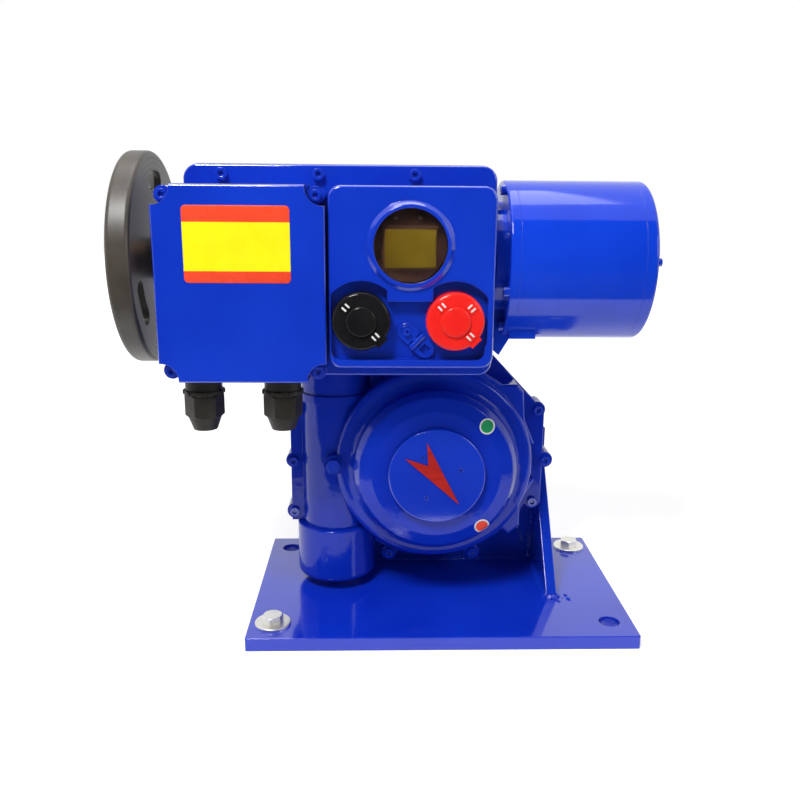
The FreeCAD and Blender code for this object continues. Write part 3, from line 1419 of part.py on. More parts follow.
def make_terminal_box():
    """The box for the wiring, and its lid: both have cut-away corners."""
    lid_back = -s.box_front + s.box_lid
    low = (-s.box_left, lid_back, s.box_low)
    high = (-s.box_right, -s.plate_front, s.box_high)
    outer = span("box_outer", low, high)
    outer = rounded("box_rounded", outer, s.box_corner, runs_along("y"))
    wall = s.box_wall
    inside = span("box_inside", (low[0] + wall, lid_back, low[2] + wall),
                  (high[0] - wall, high[1], high[2] - wall))
    depth = high[1] - lid_back
    hollow = cut("box_hollow", inside,
                 *box_notches("box_corner_wall", s.box_notch + wall, lid_back, depth))
    posts = [
        rod(f"box_post_{i}", 2 * s.head_screw, depth, (x, lid_back, z), "y")
        for i, (x, z) in enumerate(box_corner_places(s.box_screw_inset))
    ]
    shell = cut("box_shell", outer, hollow,
                *box_notches("box_corner_way", s.box_notch, lid_back, depth))
    shell = fuse("box_with_posts", shell, *posts)
    tools = [
        rod(f"box_gland_hole_{i}", s.gland_thread + 0.2, wall + s.box_notch,
            (x, s.gland_y, low[2] - 1.0))
        for i, x in enumerate(gland_places())
    ]
    tools += [
        rod(f"box_thread_{i}", s.head_screw * 0.75 + 0.1, 16.0, (x, lid_back, z), "y")
        for i, (x, z) in enumerate(box_corner_places(s.box_screw_inset))
    ]
    node("terminal_box", cut("terminal_box_cut", shell, *tools))

    front = -s.box_front
    blank = span("box_lid_blank", (-s.box_left, front, s.box_low),
                 (-s.box_right, lid_back, s.box_high))
    blank = rounded("box_lid_rounded", blank, s.box_corner - 3.5,
                    lies_at("y", front.value))
    seat = lid_back - s.box_ear
    ears = [
        rod(f"box_ear_{i}", 2 * s.head_screw, s.box_ear, (x, seat, z), "y")
        for i, (x, z) in enumerate(box_corner_places(s.box_screw_inset))
    ]
    holes = [
        rod(f"box_lid_hole_{i}", s.head_screw * 0.75 + 0.2, s.box_lid, (x, front, z), "y")
        for i, (x, z) in enumerate(box_corner_places(s.box_screw_inset))
    ]
    inside = span("box_lid_inside", (-s.box_left + 17.0, front + s.box_wall,
                                     s.box_low + 17.0),
                  (-s.box_right - 17.0, lid_back, s.box_high - 17.0))
    lid = cut("box_lid_cut", blank, inside,
              *box_notches("box_notch", s.box_notch, front, s.box_lid))
    lid = cut("box_lid_drilled", fuse("box_lid_with_ears", lid, *ears), *holes)
    node("terminal_lid", lid)
    screws = [
        socket_screw(f"box_screw_{i}", s.head_screw * 0.75, (x, seat, z), "-y", 15.0)
        for i, (x, z) in enumerate(box_corner_places(s.box_screw_inset))
    ]
    node("terminal_screws", group("terminal_screws", *screws))

    block_z = (s.box_low + s.box_high) / 2
    base = span("terminal_base", (-s.box_left + 30.0, -s.plate_front - 22.0, block_z - 22.0),
                (-s.box_right - 30.0, -s.plate_front - 0.3, block_z + 22.0))
    ways = []
    step = (s.box_left - s.box_right - 60.0) / 8
    for i in range(8):
        x = -s.box_left + 30.0 + (i + 0.5) * step
        for dz in (-13.0, 13.0):
            ways.append(rod(f"terminal_way_{i}_{dz:.0f}", step * 0.3, 8.0,
                            (x, -s.plate_front - 22.0, block_z + dz), "y"))
    node("terminal_block", cut("terminal_block_cut", base, *ways))


def make_glands():
    """Two cable glands: threaded body, rubber insert and domed nut."""
    bodies, inserts, nuts = [], [], []
    for i, x in enumerate(gland_places()):
        top = s.box_low
        y = s.gland_y
        thread = rod(f"gland_thread_{i}", s.gland_thread, s.box_wall + 8.0, (x, y, top))
        neck = rod(f"gland_neck_{i}", s.gland_neck, s.gland_body, (x, y, top - s.gland_body))
        flange = rod(f"gland_flange_{i}", s.gland_flange, 4.0,
                     (x, y, top - s.gland_body - 4.0))
        spigot = rod(f"gland_spigot_{i}", s.gland_mouth + 4.0, 12.0,
                     (x, y, top - s.gland_body - 16.0))
        body = fuse(f"gland_body_solid_{i}", thread, neck, flange, spigot)
        way = rod(f"gland_body_way_{i}", s.gland_mouth, 60.0,
                  (x, y, top - s.gland_body - 17.0))
        bodies.append(cut(f"gland_body_{i}", body, way))

        nut_top = top - s.gland_body - 4.2
        nut_hex = chamfered_hexagon(f"gland_nut_hex_{i}", s.gland_hex, 22.0,
                                    (x, y, nut_top - 22.0), 1.4, 12.0, both=True)
        dome = cone(f"gland_nut_dome_{i}", s.gland_mouth + 1.5, s.gland_hex / 2, 14.0,
                    (x, y, nut_top - s.gland_nut))
        dome = fuse(f"gland_nut_solid_{i}", nut_hex, dome)
        inner = rod(f"gland_nut_inner_{i}", s.gland_mouth + 4.2, 18.0,
                    (x, y, nut_top - 18.0))
        mouth = rod(f"gland_nut_mouth_{i}", s.gland_mouth, 60.0, (x, y, nut_top - 40.0))
        nuts.append(cut(f"gland_nut_{i}", dome, inner, mouth))

        insert = rod(f"gland_insert_{i}", s.gland_mouth - 0.1, 24.0,
                     (x, y, nut_top - s.gland_nut + 1.0))
        hole = rod(f"gland_insert_hole_{i}", s.cable_bore, 26.0,
                   (x, y, nut_top - s.gland_nut))
        inserts.append(cut(f"gland_seal_{i}", insert, hole))
    node("gland_bodies", group("gland_bodies", *bodies))
    node("gland_seals", group("gland_seals", *inserts))
    node("gland_nuts", group("gland_nuts", *nuts))


def make_motor():
    """The motor: adapter flange, round cover, end cap, stator, screws."""
    y, z = input_y, input_z
    left, right = s.motor_left, s.motor_right
    neck_left = s.head_right - s.head_inset
    spigot = rod("motor_spigot", s.motor_neck - 20.0, left - neck_left,
                 (neck_left, y, z), "x")
    neck_start = s.head_right + s.casting_gap
    neck = rod("motor_neck", s.motor_neck, left - neck_start, (neck_start, y, z), "x")
    flange = rod("motor_flange_disc", s.motor_radius, s.motor_flange,
                 (left - s.motor_flange, y, z), "x")
    flange = rounded("motor_flange_soft", flange, s.flange_edge,
                     lies_at("x", (left - s.motor_flange).value))
    foot_low = z - s.motor_foot_drop
    foot = span("motor_foot",
                (left - s.motor_foot_lap, y - s.motor_foot_depth / 2, foot_low),
                (left + s.motor_foot_length, y + s.motor_foot_depth / 2,
                 foot_low + s.motor_foot_rise))
    can = rod("motor_can_way", s.motor_radius, s.motor_foot_length + 1.0, (left, y, z), "x")
    foot = cut("motor_foot_cut", foot, can)
    rib = padded("motor_rib", [
        (neck_start, z - s.motor_rib_top), (left - 1.0, z - s.motor_rib_top),
        (left - 1.0, foot_low), (left - s.motor_rib_slope, z - s.motor_rib_low),
        (neck_start, z - s.motor_rib_side),
    ], s.motor_rib_thick, (0, y - s.motor_rib_front, 0))
    solid = fuse("motor_flange_solid", spigot, neck, flange, foot, rib)
    seat = rod("motor_flange_seat", s.input_bearing_outer, s.input_bearing_width,
               (left - s.input_bearing_width, y, z), "x")
    way = rod("motor_flange_way", s.input_bearing_outer - 4.0, left - neck_left,
              (neck_left, y, z), "x")
    holes = [
        rod(f"motor_flange_hole_{i}", s.flange_screw + 0.2, s.motor_flange,
            (left - s.motor_flange, py, pz), "x")
        for i, (py, pz) in enumerate(flange_screw_places())
    ]
    node("motor_flange", cut("motor_flange_cut", solid, seat, way, *holes))

    can = rod("motor_can", s.motor_radius, right - left - s.motor_end, (left, y, z), "x")
    bore = rod("motor_can_bore", s.stator_outer, right - left, (left, y, z), "x")
    threads = [
        rod(f"motor_can_thread_{i}", s.flange_screw + 0.1, 16.0, (left, py, pz), "x")
        for i, (py, pz) in enumerate(flange_screw_places())
    ]
    node("motor_cover", cut("motor_cover_cut", can, bore, *threads))

    cap = rod("motor_cap", s.motor_radius, s.motor_end, (right - s.motor_end, y, z), "x")
    cap = rounded("motor_cap_rounded", cap, s.motor_edge, lies_at("x", right.value))
    boss = rod("motor_cap_boss", s.input_bearing_outer + 6.0, s.input_bearing_width,
               (right - s.motor_end - s.input_bearing_width, y, z), "x")
    seat = rod("motor_cap_seat", s.input_bearing_outer, s.input_bearing_width,
               (right - s.motor_end - s.input_bearing_width, y, z), "x")
    way = rod("motor_cap_way", s.input_journal + 1.0, s.motor_end - 4.0,
              (right - s.motor_end, y, z), "x")
    node("motor_end_cap", cut("motor_end_cap_cut", fuse("motor_cap_solid", cap, boss), seat,
                              way))

    middle = (left + right) / 2
    start = middle - s.stator_length / 2
    core = ring("stator_core", s.stator_outer - 0.1, s.stator_inner, s.stator_length,
                (start, y, z), "x")
    coils = [
        ring(f"stator_coil_{i}", s.stator_outer - 8.0, s.stator_inner + 4.0, 12.0,
             (x, y, z), "x")
        for i, x in enumerate((start - 12.0, start + s.stator_length))
    ]
    node("motor_stator", fuse("motor_stator_solid", core, *coils))

    screws = []
    for i in range(4):
        angle = math.radians(i * 90.0 + 3.0)
        at = (right, y - (s.motor_radius - 7.0) * math.cos(angle),
              z + (s.motor_radius - 7.0) * math.sin(angle))
        screws.append(rod(f"motor_screw_{i}", s.head_screw, 3.0, at, "x"))
    node("motor_screws", group("motor_screws", *screws))
    screws = [
        socket_screw(f"flange_screw_{i}", s.flange_screw, (left - s.motor_flange, py, pz),
                     "-x", 24.0)
        for i, (py, pz) in enumerate(flange_screw_places())
    ]
    node("flange_screws", group("flange_screws", *screws))


def flange_screw_places():
    """Y and Z of the screws that hold the motor's cover to its flange."""
    circle = (s.motor_radius + s.stator_outer) / 2
    for angle in FLANGE_SCREW_ANGLES:
        turn = math.radians(angle)
        yield input_y + circle * math.cos(turn), input_z + circle * math.sin(turn)


def make_power_board():
    """The main circuit board, on posts inside the rear lid."""
    left = web_places()[1] + s.web_thick + 5.0
    right = s.head_right - s.head_inset - s.head_wall - 5.0
    low, high = s.head_low + 22.0, s.head_high - 24.0
    front = s.head_back - s.board_post - 2.0
    board = span("power_sheet", (left, front, low), (right, front + 2.0, high))
    blocks = [
        span(f"power_block_{i}", (x, front - 16.0, z), (x + 22.0, front + 0.5, z + height))
        for i, (x, z, height) in enumerate((
            (left + 8.0, low + 12.0, 30.0), (left + 38.0, low + 12.0, 44.0),
            (left + 10.0, high - 52.0, 36.0),
        ))
    ]
    posts = [
        rod(f"power_post_{i}", 3.0, s.board_post + 0.5, (x, front + 1.5, z), "y")
        for i, (x, z) in enumerate(
            (x, z) for x in (left + 5.0, right - 5.0) for z in (low + 5.0, high - 5.0))
    ]
    node("power_board", fuse("power_board_solid", board, *blocks, *posts))


def check_and_export():
    doc.recompute()
    for item in doc.Objects:
        if {"Invalid", "Error"} & set(item.State):
            raise RuntimeError(f"{item.Name} did not build: {item.State}")
    os.makedirs("parts", exist_ok=True)
    for item in nodes:
        shape = item.Shape
        if shape.isNull() or not shape.isValid() or not shape.Solids:
            raise RuntimeError(f"{item.Label} has no valid solid")
        shape.exportStep(f"parts/{item.Label}.step")
        print(item.Label, len(shape.Solids), round(shape.Volume))


write_sheet()
make_foot()
make_foundation()
make_gear_case()
make_rear_cover()
make_case_fasteners()
make_worm_cap()
make_plug()
make_output_body()
make_output_bearings()
make_worm_shaft_body()
make_worm_bearings()
make_input_body()
make_input_bearings()
make_handwheel_body()
make_head()
make_control_cover()
make_knobs()
make_hasp()
make_terminal_box()
make_glands()
make_motor()
make_power_board()
check_and_export()
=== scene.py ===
import json
import math
import random

import bmesh
import bpy
from mathutils import Matrix, Vector
from mathutils.bvhtree import BVHTree


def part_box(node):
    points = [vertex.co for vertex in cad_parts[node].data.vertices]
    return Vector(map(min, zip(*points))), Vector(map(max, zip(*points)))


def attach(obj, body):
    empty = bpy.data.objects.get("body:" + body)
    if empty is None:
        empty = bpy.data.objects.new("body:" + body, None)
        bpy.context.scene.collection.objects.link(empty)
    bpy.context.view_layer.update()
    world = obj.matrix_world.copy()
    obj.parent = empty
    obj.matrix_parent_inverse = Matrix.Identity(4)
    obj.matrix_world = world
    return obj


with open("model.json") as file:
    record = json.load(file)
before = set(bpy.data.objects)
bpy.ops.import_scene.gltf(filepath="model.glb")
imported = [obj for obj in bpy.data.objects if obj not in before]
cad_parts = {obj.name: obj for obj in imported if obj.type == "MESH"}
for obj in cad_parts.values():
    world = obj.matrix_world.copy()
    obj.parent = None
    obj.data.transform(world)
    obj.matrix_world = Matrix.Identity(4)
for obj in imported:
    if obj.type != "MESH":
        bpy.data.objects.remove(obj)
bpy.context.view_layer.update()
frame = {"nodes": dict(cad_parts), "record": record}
nodes = frame["nodes"]
random.seed(7)

MM = 0.001
AXIS_X = Vector((1, 0, 0))
AXIS_Y = Vector((0, 1, 0))
AXIS_Z = Vector((0, 0, 1))
WHITE = (1.0, 1.0, 1.0, 1.0)

# The photograph's camera, solved from the base plate's corners: metres, degrees and millimetres
CAMERA_PLACE = (-0.0669, -0.8647, 0.4405)
CAMERA_PITCH = 13.74
CAMERA_YAW = -1.59
CAMERA_ROLL = 0.47
CAMERA_LENS = 36.8
CAMERA_SENSOR = 36.0
CAMERA_CLIP = 0.01

# The studio: the world's strength as a light, and each lamp's name, place, size and power
WORLD_LIGHT = 0.27
LAMP_TARGET = (-0.05, 0.0, 0.25)
LAMPS = (
    ("key", (-0.55, -1.0, 1.60), (0.45, 0.45), 28.0),
    ("side", (1.2, -1.0, 0.9), (0.3, 0.6), 4.0),
    ("top", (-0.1, 0.2, 1.8), (1.2, 0.8), 10.0),
)

# The floor's own white: its strength near the object, and the distances over which it grows to 1
FLOOR_LIFT = 0.46
FLOOR_LIFT_START = 0.8
FLOOR_LIFT_END = 2.4

# The terminal box's cut-away corners: radius, and how far inside the corner they are centred
BOX_NOTCH = 16.0 * MM
BOX_NOTCH_INSET = 2.0 * MM

REAR_LID_CORNER = 10.0 * MM
FRONT_PLATE_CORNER = 14.0 * MM
WHEEL_CENTRE = (-0.292, -0.026, 0.382)


# Shader helpers

class Shader:
    """A material's node tree, with short calls for the nodes that it needs."""

    def __init__(self, name):
        self.material = bpy.data.materials.new(name)
        self.material.use_nodes = True
        self.tree = self.material.node_tree
        self.tree.nodes.clear()
        self.output = self.tree.nodes.new("ShaderNodeOutputMaterial")
        self.surface = self.tree.nodes.new("ShaderNodeBsdfPrincipled")
        self.link(self.surface, "BSDF", self.output, "Surface")
        coordinates = self.tree.nodes.new("ShaderNodeTexCoord")
        self.place = (coordinates, "Object")

    def link(self, source, source_name, target, target_name):
        self.tree.links.new(source.outputs[source_name], target.inputs[target_name])

    def set(self, **values):
        """Sets inputs of the surface. An underscore stands for a space."""
        for name, value in values.items():
            self.surface.inputs[name.replace("_", " ")].default_value = value

    def node(self, kind, **values):
        item = self.tree.nodes.new(kind)
        for name, value in values.items():
            setattr(item, name, value)
        return item

    def mapped(self, scale=(1.0, 1.0, 1.0), shift=(0.0, 0.0, 0.0), turn=(0.0, 0.0, 0.0)):
        mapping = self.node("ShaderNodeMapping")
        mapping.inputs["Scale"].default_value = scale
        mapping.inputs["Location"].default_value = shift
        mapping.inputs["Rotation"].default_value = turn
        self.link(*self.place, mapping, "Vector")
        return mapping

    def texture(self, kind, scale, where=None, **values):
        item = self.node(kind, **values)
        item.inputs["Scale"].default_value = scale
        source = (where, "Vector") if where else self.place
        self.link(*source, item, "Vector")
        return item

    def noise(self, scale, detail=3.0, roughness=0.55, where=None):
        item = self.texture("ShaderNodeTexNoise", scale, where)
        item.inputs["Detail"].default_value = detail
        item.inputs["Roughness"].default_value = roughness
        return item

    def spread(self, source, name, low, high, start=0.0, end=1.0):
        """Spreads a source's values from start to end over low to high."""
        item = self.node("ShaderNodeMapRange")
        item.inputs["From Min"].default_value = start
        item.inputs["From Max"].default_value = end
        item.inputs["To Min"].default_value = low
        item.inputs["To Max"].default_value = high
        self.link(source, name, item, "Value")
        return item

    def bump(self, source, name, strength, distance, under=None):
        item = self.node("ShaderNodeBump")
        item.inputs["Strength"].default_value = strength
        item.inputs["Distance"].default_value = distance
        self.link(source, name, item, "Height")
        if under:
            self.link(under, "Normal", item, "Normal")
        return item

    def soft_edges(self, radius):
        item = self.node("ShaderNodeBevel", samples=4)
        item.inputs["Radius"].default_value = radius
        return item

    def set_colour(self, source, dark, light, start=0.3, end=0.7):
        """Drifts the base colour between two shades."""
        item = self.node("ShaderNodeValToRGB")
        stops = zip(item.color_ramp.elements, (start, end), (dark, light))
        for element, position, colour in stops:
            element.position = position
            element.color = (*colour, 1.0)
        self.link(source, "Fac", item, "Fac")
        self.link(item, "Color", self.surface, "Base Color")

    def set_roughness(self, source, low, high, start=0.0, end=1.0):
        gloss = self.spread(source, "Fac", low, high, start, end)
        self.link(gloss, "Result", self.surface, "Roughness")

    def set_normal(self, source, name="Normal"):
        self.link(source, "Normal", self.surface, name)


def grey(value):
    return (value, value, value)


def gloss_paint(name, dark, light, coat=0.0, lumps=0.0, shine=0.5, rough=(0.06, 0.15)):
    """Gloss enamel on metal: colour drift, a cast surface, orange peel and paint nibs."""
    s = Shader(name)
    drift = s.noise(scale=9.0)
    s.set_colour(drift, dark, light)
    smudge = s.noise(scale=38.0, detail=5.0, roughness=0.65)
    s.set_roughness(smudge, *rough, start=0.3, end=0.75)
    relief = s.soft_edges(0.9 * MM)
    if lumps:
        cast = s.noise(scale=60.0, detail=2.0)
        relief = s.bump(cast, "Fac", lumps, 1.2 * MM, relief)
    peel = s.noise(scale=380.0, detail=2.0)
    relief = s.bump(peel, "Fac", 0.10, 0.22 * MM, relief)
    nibs = s.texture("ShaderNodeTexVoronoi", scale=95.0)
    specks = s.spread(nibs, "Distance", low=1.0, high=0.0, start=0.03, end=0.09)
    relief = s.bump(specks, "Result", 0.25, 0.2 * MM, relief)
    s.set_normal(relief)
    s.set_normal(relief, "Coat Normal")
    s.set(Coat_Weight=coat, Coat_Roughness=0.04, Specular_IOR_Level=shine, IOR=1.5)
    return s.material


def bare_metal(name, dark, light, rough, scratch=0.25, stretch=(1.0, 1.0, 12.0)):
    """Unpainted metal with fine lines across the stretched axis."""
    s = Shader(name)
    cloud = s.noise(scale=30.0, detail=4.0)
    s.set_colour(cloud, dark, light)
    lines = s.noise(scale=260.0, detail=4.0, roughness=0.6, where=s.mapped(stretch))
    s.set_roughness(lines, rough * 0.7, rough * 1.5, start=0.3, end=0.7)
    s.set_normal(s.bump(lines, "Fac", scratch, 0.12 * MM, s.soft_edges(0.4 * MM)))
    s.set(Metallic=1.0)
    return s.material


def plastic(name, dark, light, rough, grain, grain_scale=700.0, coat=0.0, shine=0.4):
    """A moulded plastic or rubber: colour drift, smudges and a fine grain."""
    s = Shader(name)
    cloud = s.noise(scale=24.0)
    s.set_colour(cloud, dark, light)
    smudge = s.noise(scale=60.0, detail=5.0, roughness=0.6)
    s.set_roughness(smudge, *rough, start=0.3, end=0.7)
    fine = s.noise(grain_scale, detail=2.0)
    s.set_normal(s.bump(fine, "Fac", grain, 0.2 * MM, s.soft_edges(0.5 * MM)))
    s.set(Coat_Weight=coat, Coat_Roughness=0.05, Specular_IOR_Level=shine)
    return s.material


def vinyl(name, dark, light, rough=(0.22, 0.36)):
    """The film of a sticker, with a softer and wider grain."""
    return plastic(name, dark, light, rough, grain=0.05, grain_scale=240.0, shine=0.3)


def handwheel_finish(name, dark, light):
    """Black-finished iron: colour drift, turning marks round the hub and fine pits."""
    s = Shader(name)
    cloud = s.noise(scale=17.0, detail=4.0, roughness=0.6)
    s.set_colour(cloud, dark, light, end=0.72)
    where = s.mapped(shift=tuple(-value for value in WHEEL_CENTRE))
    turning = s.texture("ShaderNodeTexWave", 60.0, where, wave_type="RINGS",
                        rings_direction="X")
    turning.inputs["Distortion"].default_value = 0.6
    turning.inputs["Detail"].default_value = 3.0
    s.set_roughness(turning, 0.36, 0.42)
    relief = s.bump(turning, "Fac", 0.01, 0.05 * MM, s.soft_edges(0.8 * MM))
    pits = s.noise(scale=520.0, detail=2.0)
    s.set_normal(s.bump(pits, "Fac", 0.15, 0.2 * MM, relief))
    s.set(Specular_IOR_Level=0.5)
    return s.material


def brushed_paint(name, dark, light, turn):
    """Hand-brushed paint: streaks along the brush and a thin, uneven film."""
    s = Shader(name)
    along_brush = s.mapped((0.18, 1.0, 1.0), turn=(0.0, turn, 0.0))
    streaks = s.noise(scale=190.0, detail=4.0, roughness=0.6, where=along_brush)
    s.set_colour(streaks, dark, light, end=0.65)
    s.set_roughness(streaks, 0.32, 0.5)
    s.set_normal(s.bump(streaks, "Fac", 0.35, 0.3 * MM, s.soft_edges(0.6 * MM)))
    s.set(Specular_IOR_Level=0.2)
    return s.material


def glass_material(name):
    """Clear, slightly warm glass with faint smudges."""
    s = Shader(name)
    smudge = s.noise(scale=45.0, detail=4.0)
    s.set_roughness(smudge, 0.01, 0.07, start=0.35, end=0.7)
    s.set(Base_Color=(0.92, 0.86, 0.78, 1.0), Transmission_Weight=1.0, IOR=1.2)
    return s.material


def display_finish(name, dark, light):
    """The dim, olive screen: fine level lines over a slow drift of colour."""
    s = Shader(name)
    drift = s.noise(scale=26.0, detail=2.0)
    s.set_colour(drift, dark, light)
    lines = s.texture("ShaderNodeTexWave", 420.0, wave_type="BANDS", bands_direction="Z")
    s.set_normal(s.bump(lines, "Fac", 0.1, 0.05 * MM))
    s.set(Roughness=0.3, Specular_IOR_Level=0.3)
    return s.material


# Finishes: a dark and a light shade each, then how the surface shines

BLUE = gloss_paint("blue_enamel", (0.003, 0.028, 0.43), (0.005, 0.040, 0.52), coat=1.0)
CASTING = gloss_paint("blue_enamel_casting", (0.003, 0.022, 0.38), (0.005, 0.032, 0.46),
                      lumps=0.30, shine=0.32)
FOOT = gloss_paint("blue_enamel_foot", (0.003, 0.026, 0.50), (0.005, 0.038, 0.58),
                   coat=1.0, shine=0.2, rough=(0.10, 0.20))
MOTOR = gloss_paint("blue_enamel_motor", (0.003, 0.036, 0.50), (0.006, 0.050, 0.60),
                    lumps=0.04)
WELD = gloss_paint("blue_enamel_weld", (0.003, 0.026, 0.46), (0.005, 0.038, 0.54),
                   lumps=0.6)
RED = brushed_paint("red_arrow_paint", (0.30, 0.006, 0.004), (0.44, 0.012, 0.006), turn=0.9)
BLACK = handwheel_finish("handwheel_black", (0.026, 0.021, 0.016), (0.070, 0.060, 0.047))
KNOB_BLACK = plastic("knob_black", (0.006, 0.006, 0.007), (0.012, 0.011, 0.012),
                     rough=(0.04, 0.10), grain=0.03, coat=0.12, shine=0.12)
KNOB_RED = plastic("knob_red", (0.74, 0.012, 0.010), (0.84, 0.022, 0.016),
                   rough=(0.14, 0.26), grain=0.05, coat=0.2, shine=0.2)
NYLON = plastic("gland_nylon", (0.018, 0.016, 0.013), (0.034, 0.030, 0.026),
                rough=(0.36, 0.5), grain=0.12, shine=0.22)
RUBBER = plastic("gland_rubber", grey(0.02), grey(0.03), rough=(0.6, 0.8), grain=0.2,
                 shine=0.2)
ZINC = bare_metal("zinc_plate", (0.72, 0.71, 0.67), (0.90, 0.89, 0.85), rough=0.36)
DARK_STEEL = bare_metal("black_oxide", (0.015, 0.015, 0.018), (0.035, 0.035, 0.04),
                        rough=0.35)
STEEL = bare_metal("machined_steel", (0.50, 0.51, 0.53), (0.64, 0.65, 0.67), rough=0.25)
BEARING = bare_metal("bearing_steel", (0.60, 0.61, 0.63), (0.74, 0.75, 0.77), rough=0.16,
                     scratch=0.1)
BRONZE = bare_metal("bronze", (0.48, 0.28, 0.11), (0.62, 0.38, 0.16), rough=0.3)
IRON = bare_metal("cast_iron", (0.10, 0.10, 0.105), (0.17, 0.17, 0.175), rough=0.55,
                  scratch=0.6, stretch=(1.0, 1.0, 1.0))
CORE = bare_metal("laminated_core", (0.20, 0.18, 0.17), (0.28, 0.26, 0.25), rough=0.4,
                  scratch=0.4, stretch=(14.0, 1.0, 1.0))
GLASS = glass_material("window_glass")
DISPLAY = plastic("display_frame", (0.15, 0.088, 0.070), (0.21, 0.125, 0.100),
                  rough=(0.4, 0.6), grain=0.05, shine=0.2)
SCREEN = display_finish("display_screen", (0.34, 0.24, 0.026), (0.44, 0.33, 0.036))
LAMP = plastic("lamp_lens", (0.20, 0.15, 0.13), (0.30, 0.22, 0.19), rough=(0.15, 0.3),
               grain=0.05)
TERMINAL = plastic("terminal_grey", (0.20, 0.21, 0.20), (0.27, 0.28, 0.27),
                   rough=(0.4, 0.6), grain=0.1)
CIRCUIT = plastic("circuit_green", (0.01, 0.10, 0.04), (0.02, 0.16, 0.06),
                  rough=(0.3, 0.5), grain=0.05)
VINYL_RED = vinyl("vinyl_red", (0.74, 0.050, 0.018), (0.84, 0.070, 0.026))
VINYL_YELLOW = vinyl("vinyl_yellow", (0.80, 0.72, 0.004), (0.90, 0.83, 0.008))
VINYL_GREEN = vinyl("vinyl_green", (0.006, 0.22, 0.075), (0.012, 0.30, 0.10))
VINYL_WHITE = vinyl("vinyl_white", (0.62, 0.62, 0.60), (0.72, 0.72, 0.70),
                    rough=(0.3, 0.45))

SLOT_FINISHES = {
    "blue_paint": BLUE,
    "red_paint": RED,
    "black_paint": BLACK,
    "zinc_steel": ZINC,
    "dark_steel": DARK_STEEL,
    "machined_steel": STEEL,
    "bearing_steel": BEARING,
    "bronze": BRONZE,
    "cast_lever": IRON,
    "core_iron": CORE,
    "black_plastic": KNOB_BLACK,
    "red_plastic": KNOB_RED,
    "window_glass": GLASS,
    "display": DISPLAY,
    "terminal_plastic": TERMINAL,
    "circuit_board": CIRCUIT,
    "gland_plastic": NYLON,
    "gland_rubber": RUBBER,
}
NODE_FINISHES = {
    "gear_case": CASTING,
    "gear_rear_cover": CASTING,
    "worm_cap": CASTING,
    "main_housing": CASTING,
    "base_plate": FOOT,
    "motor_flange": MOTOR,
    "motor_cover": MOTOR,
    "motor_end_cap": MOTOR,
    "disc_screws": BLUE,
    "terminal_screws": BLUE,
}


def finish_nodes():
    """Gives every node the finish of its own or that of its slot."""
    for part in frame["record"]["subparts"]:
        item = nodes[part["node"]]
        finish = NODE_FINISHES.get(part["node"], SLOT_FINISHES[part["material_slot"]])
        item.data.materials.clear()
        item.data.materials.append(finish)


# Mesh helpers

def make_piece(name, bm, body, slot, *finishes, sharp=40.0):
    """Turns a mesh into a finished piece that rides on a body."""
    bmesh.ops.recalc_face_normals(bm, faces=bm.faces)
    mesh = bpy.data.meshes.new(name)
    bm.to_mesh(mesh)
    bm.free()
    mesh.shade_smooth()
    mesh.set_sharp_from_angle(angle=math.radians(sharp))
    for finish in finishes:
        mesh.materials.append(finish)
    item = bpy.data.objects.new(name, mesh)
    bpy.context.scene.collection.objects.link(item)
    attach(item, body)
    return item


def add_band(bm, first, second, material=0):
    """Joins two closed rows of vertices by a band of faces."""
    count = len(first)
    for i in range(count):
        after = (i + 1) % count
        face = bm.faces.new((first[i], first[after], second[after], second[i]))
        face.material_index = material


def add_loops(bm, loops, closed_path=False, material=0):
    """Skins a row of equal closed loops of points, capped at both ends if it is open."""
    rows = [[bm.verts.new(point) for point in loop] for loop in loops]
    pairs = list(zip(rows, rows[1:]))
    if closed_path:
        pairs.append((rows[-1], rows[0]))
    for first, second in pairs:
        add_band(bm, first, second, material)
    if not closed_path:
        for row in (rows[0], rows[-1]):
            face = bm.faces.new(row)
            face.material_index = material


def add_plate(bm, outline, origin, across, up, thick, edge, material=0):
    """A flat plate that rises along across x up, its front edge rounded."""
    normal = across.cross(up)
    size = max(math.hypot(u, v) for u, v in outline)
    cut = edge * 0.3

    def loop(shrink, height):
        scale = 1.0 - shrink / size
        return [origin + across * (u * scale) + up * (v * scale) + normal * height
                for u, v in outline]

    steps = [(0.0, 0.0), (0.0, thick - edge), (cut, thick - cut), (edge, thick)]
    add_loops(bm, [loop(*step) for step in steps], material=material)


def rounded_rectangle(width, height, corner, steps=5):
    points = []
    for sx, sy, start in ((1, -1, -90), (1, 1, 0), (-1, 1, 90), (-1, -1, 180)):
        centre = (sx * (width / 2 - corner), sy * (height / 2 - corner))
        for i in range(steps + 1):
            angle = math.radians(start + 90.0 * i / steps)
            points.append((centre[0] + corner * math.cos(angle),
                           centre[1] + corner * math.sin(angle)))
    return points


def notched_rectangle(width, height, notch, inset, steps=10):
    """A rectangle whose corners are cut away by circles centred a little inside them."""
    lean = math.degrees(math.asin(inset / notch))
    points = []
    for sx, sy, turn in ((1, -1, 0), (1, 1, 90), (-1, 1, 180), (-1, -1, 270)):
        centre = (sx * (width / 2 - inset), sy * (height / 2 - inset))
        for i in range(steps + 1):
            angle = math.radians(turn + 180.0 + lean - (90.0 + 2 * lean) * i / steps)
            points.append((centre[0] + notch * math.cos(angle),
                           centre[1] + notch * math.sin(angle)))
    return points


def round_loop(centre, side, other, radius, count=8):
    """A circle of points in the plane of two directions."""
    angles = [2 * math.pi * i / count for i in range(count)]
    return [centre + side * (radius * math.cos(angle)) + other * (radius * math.sin(angle))
            for angle in angles]


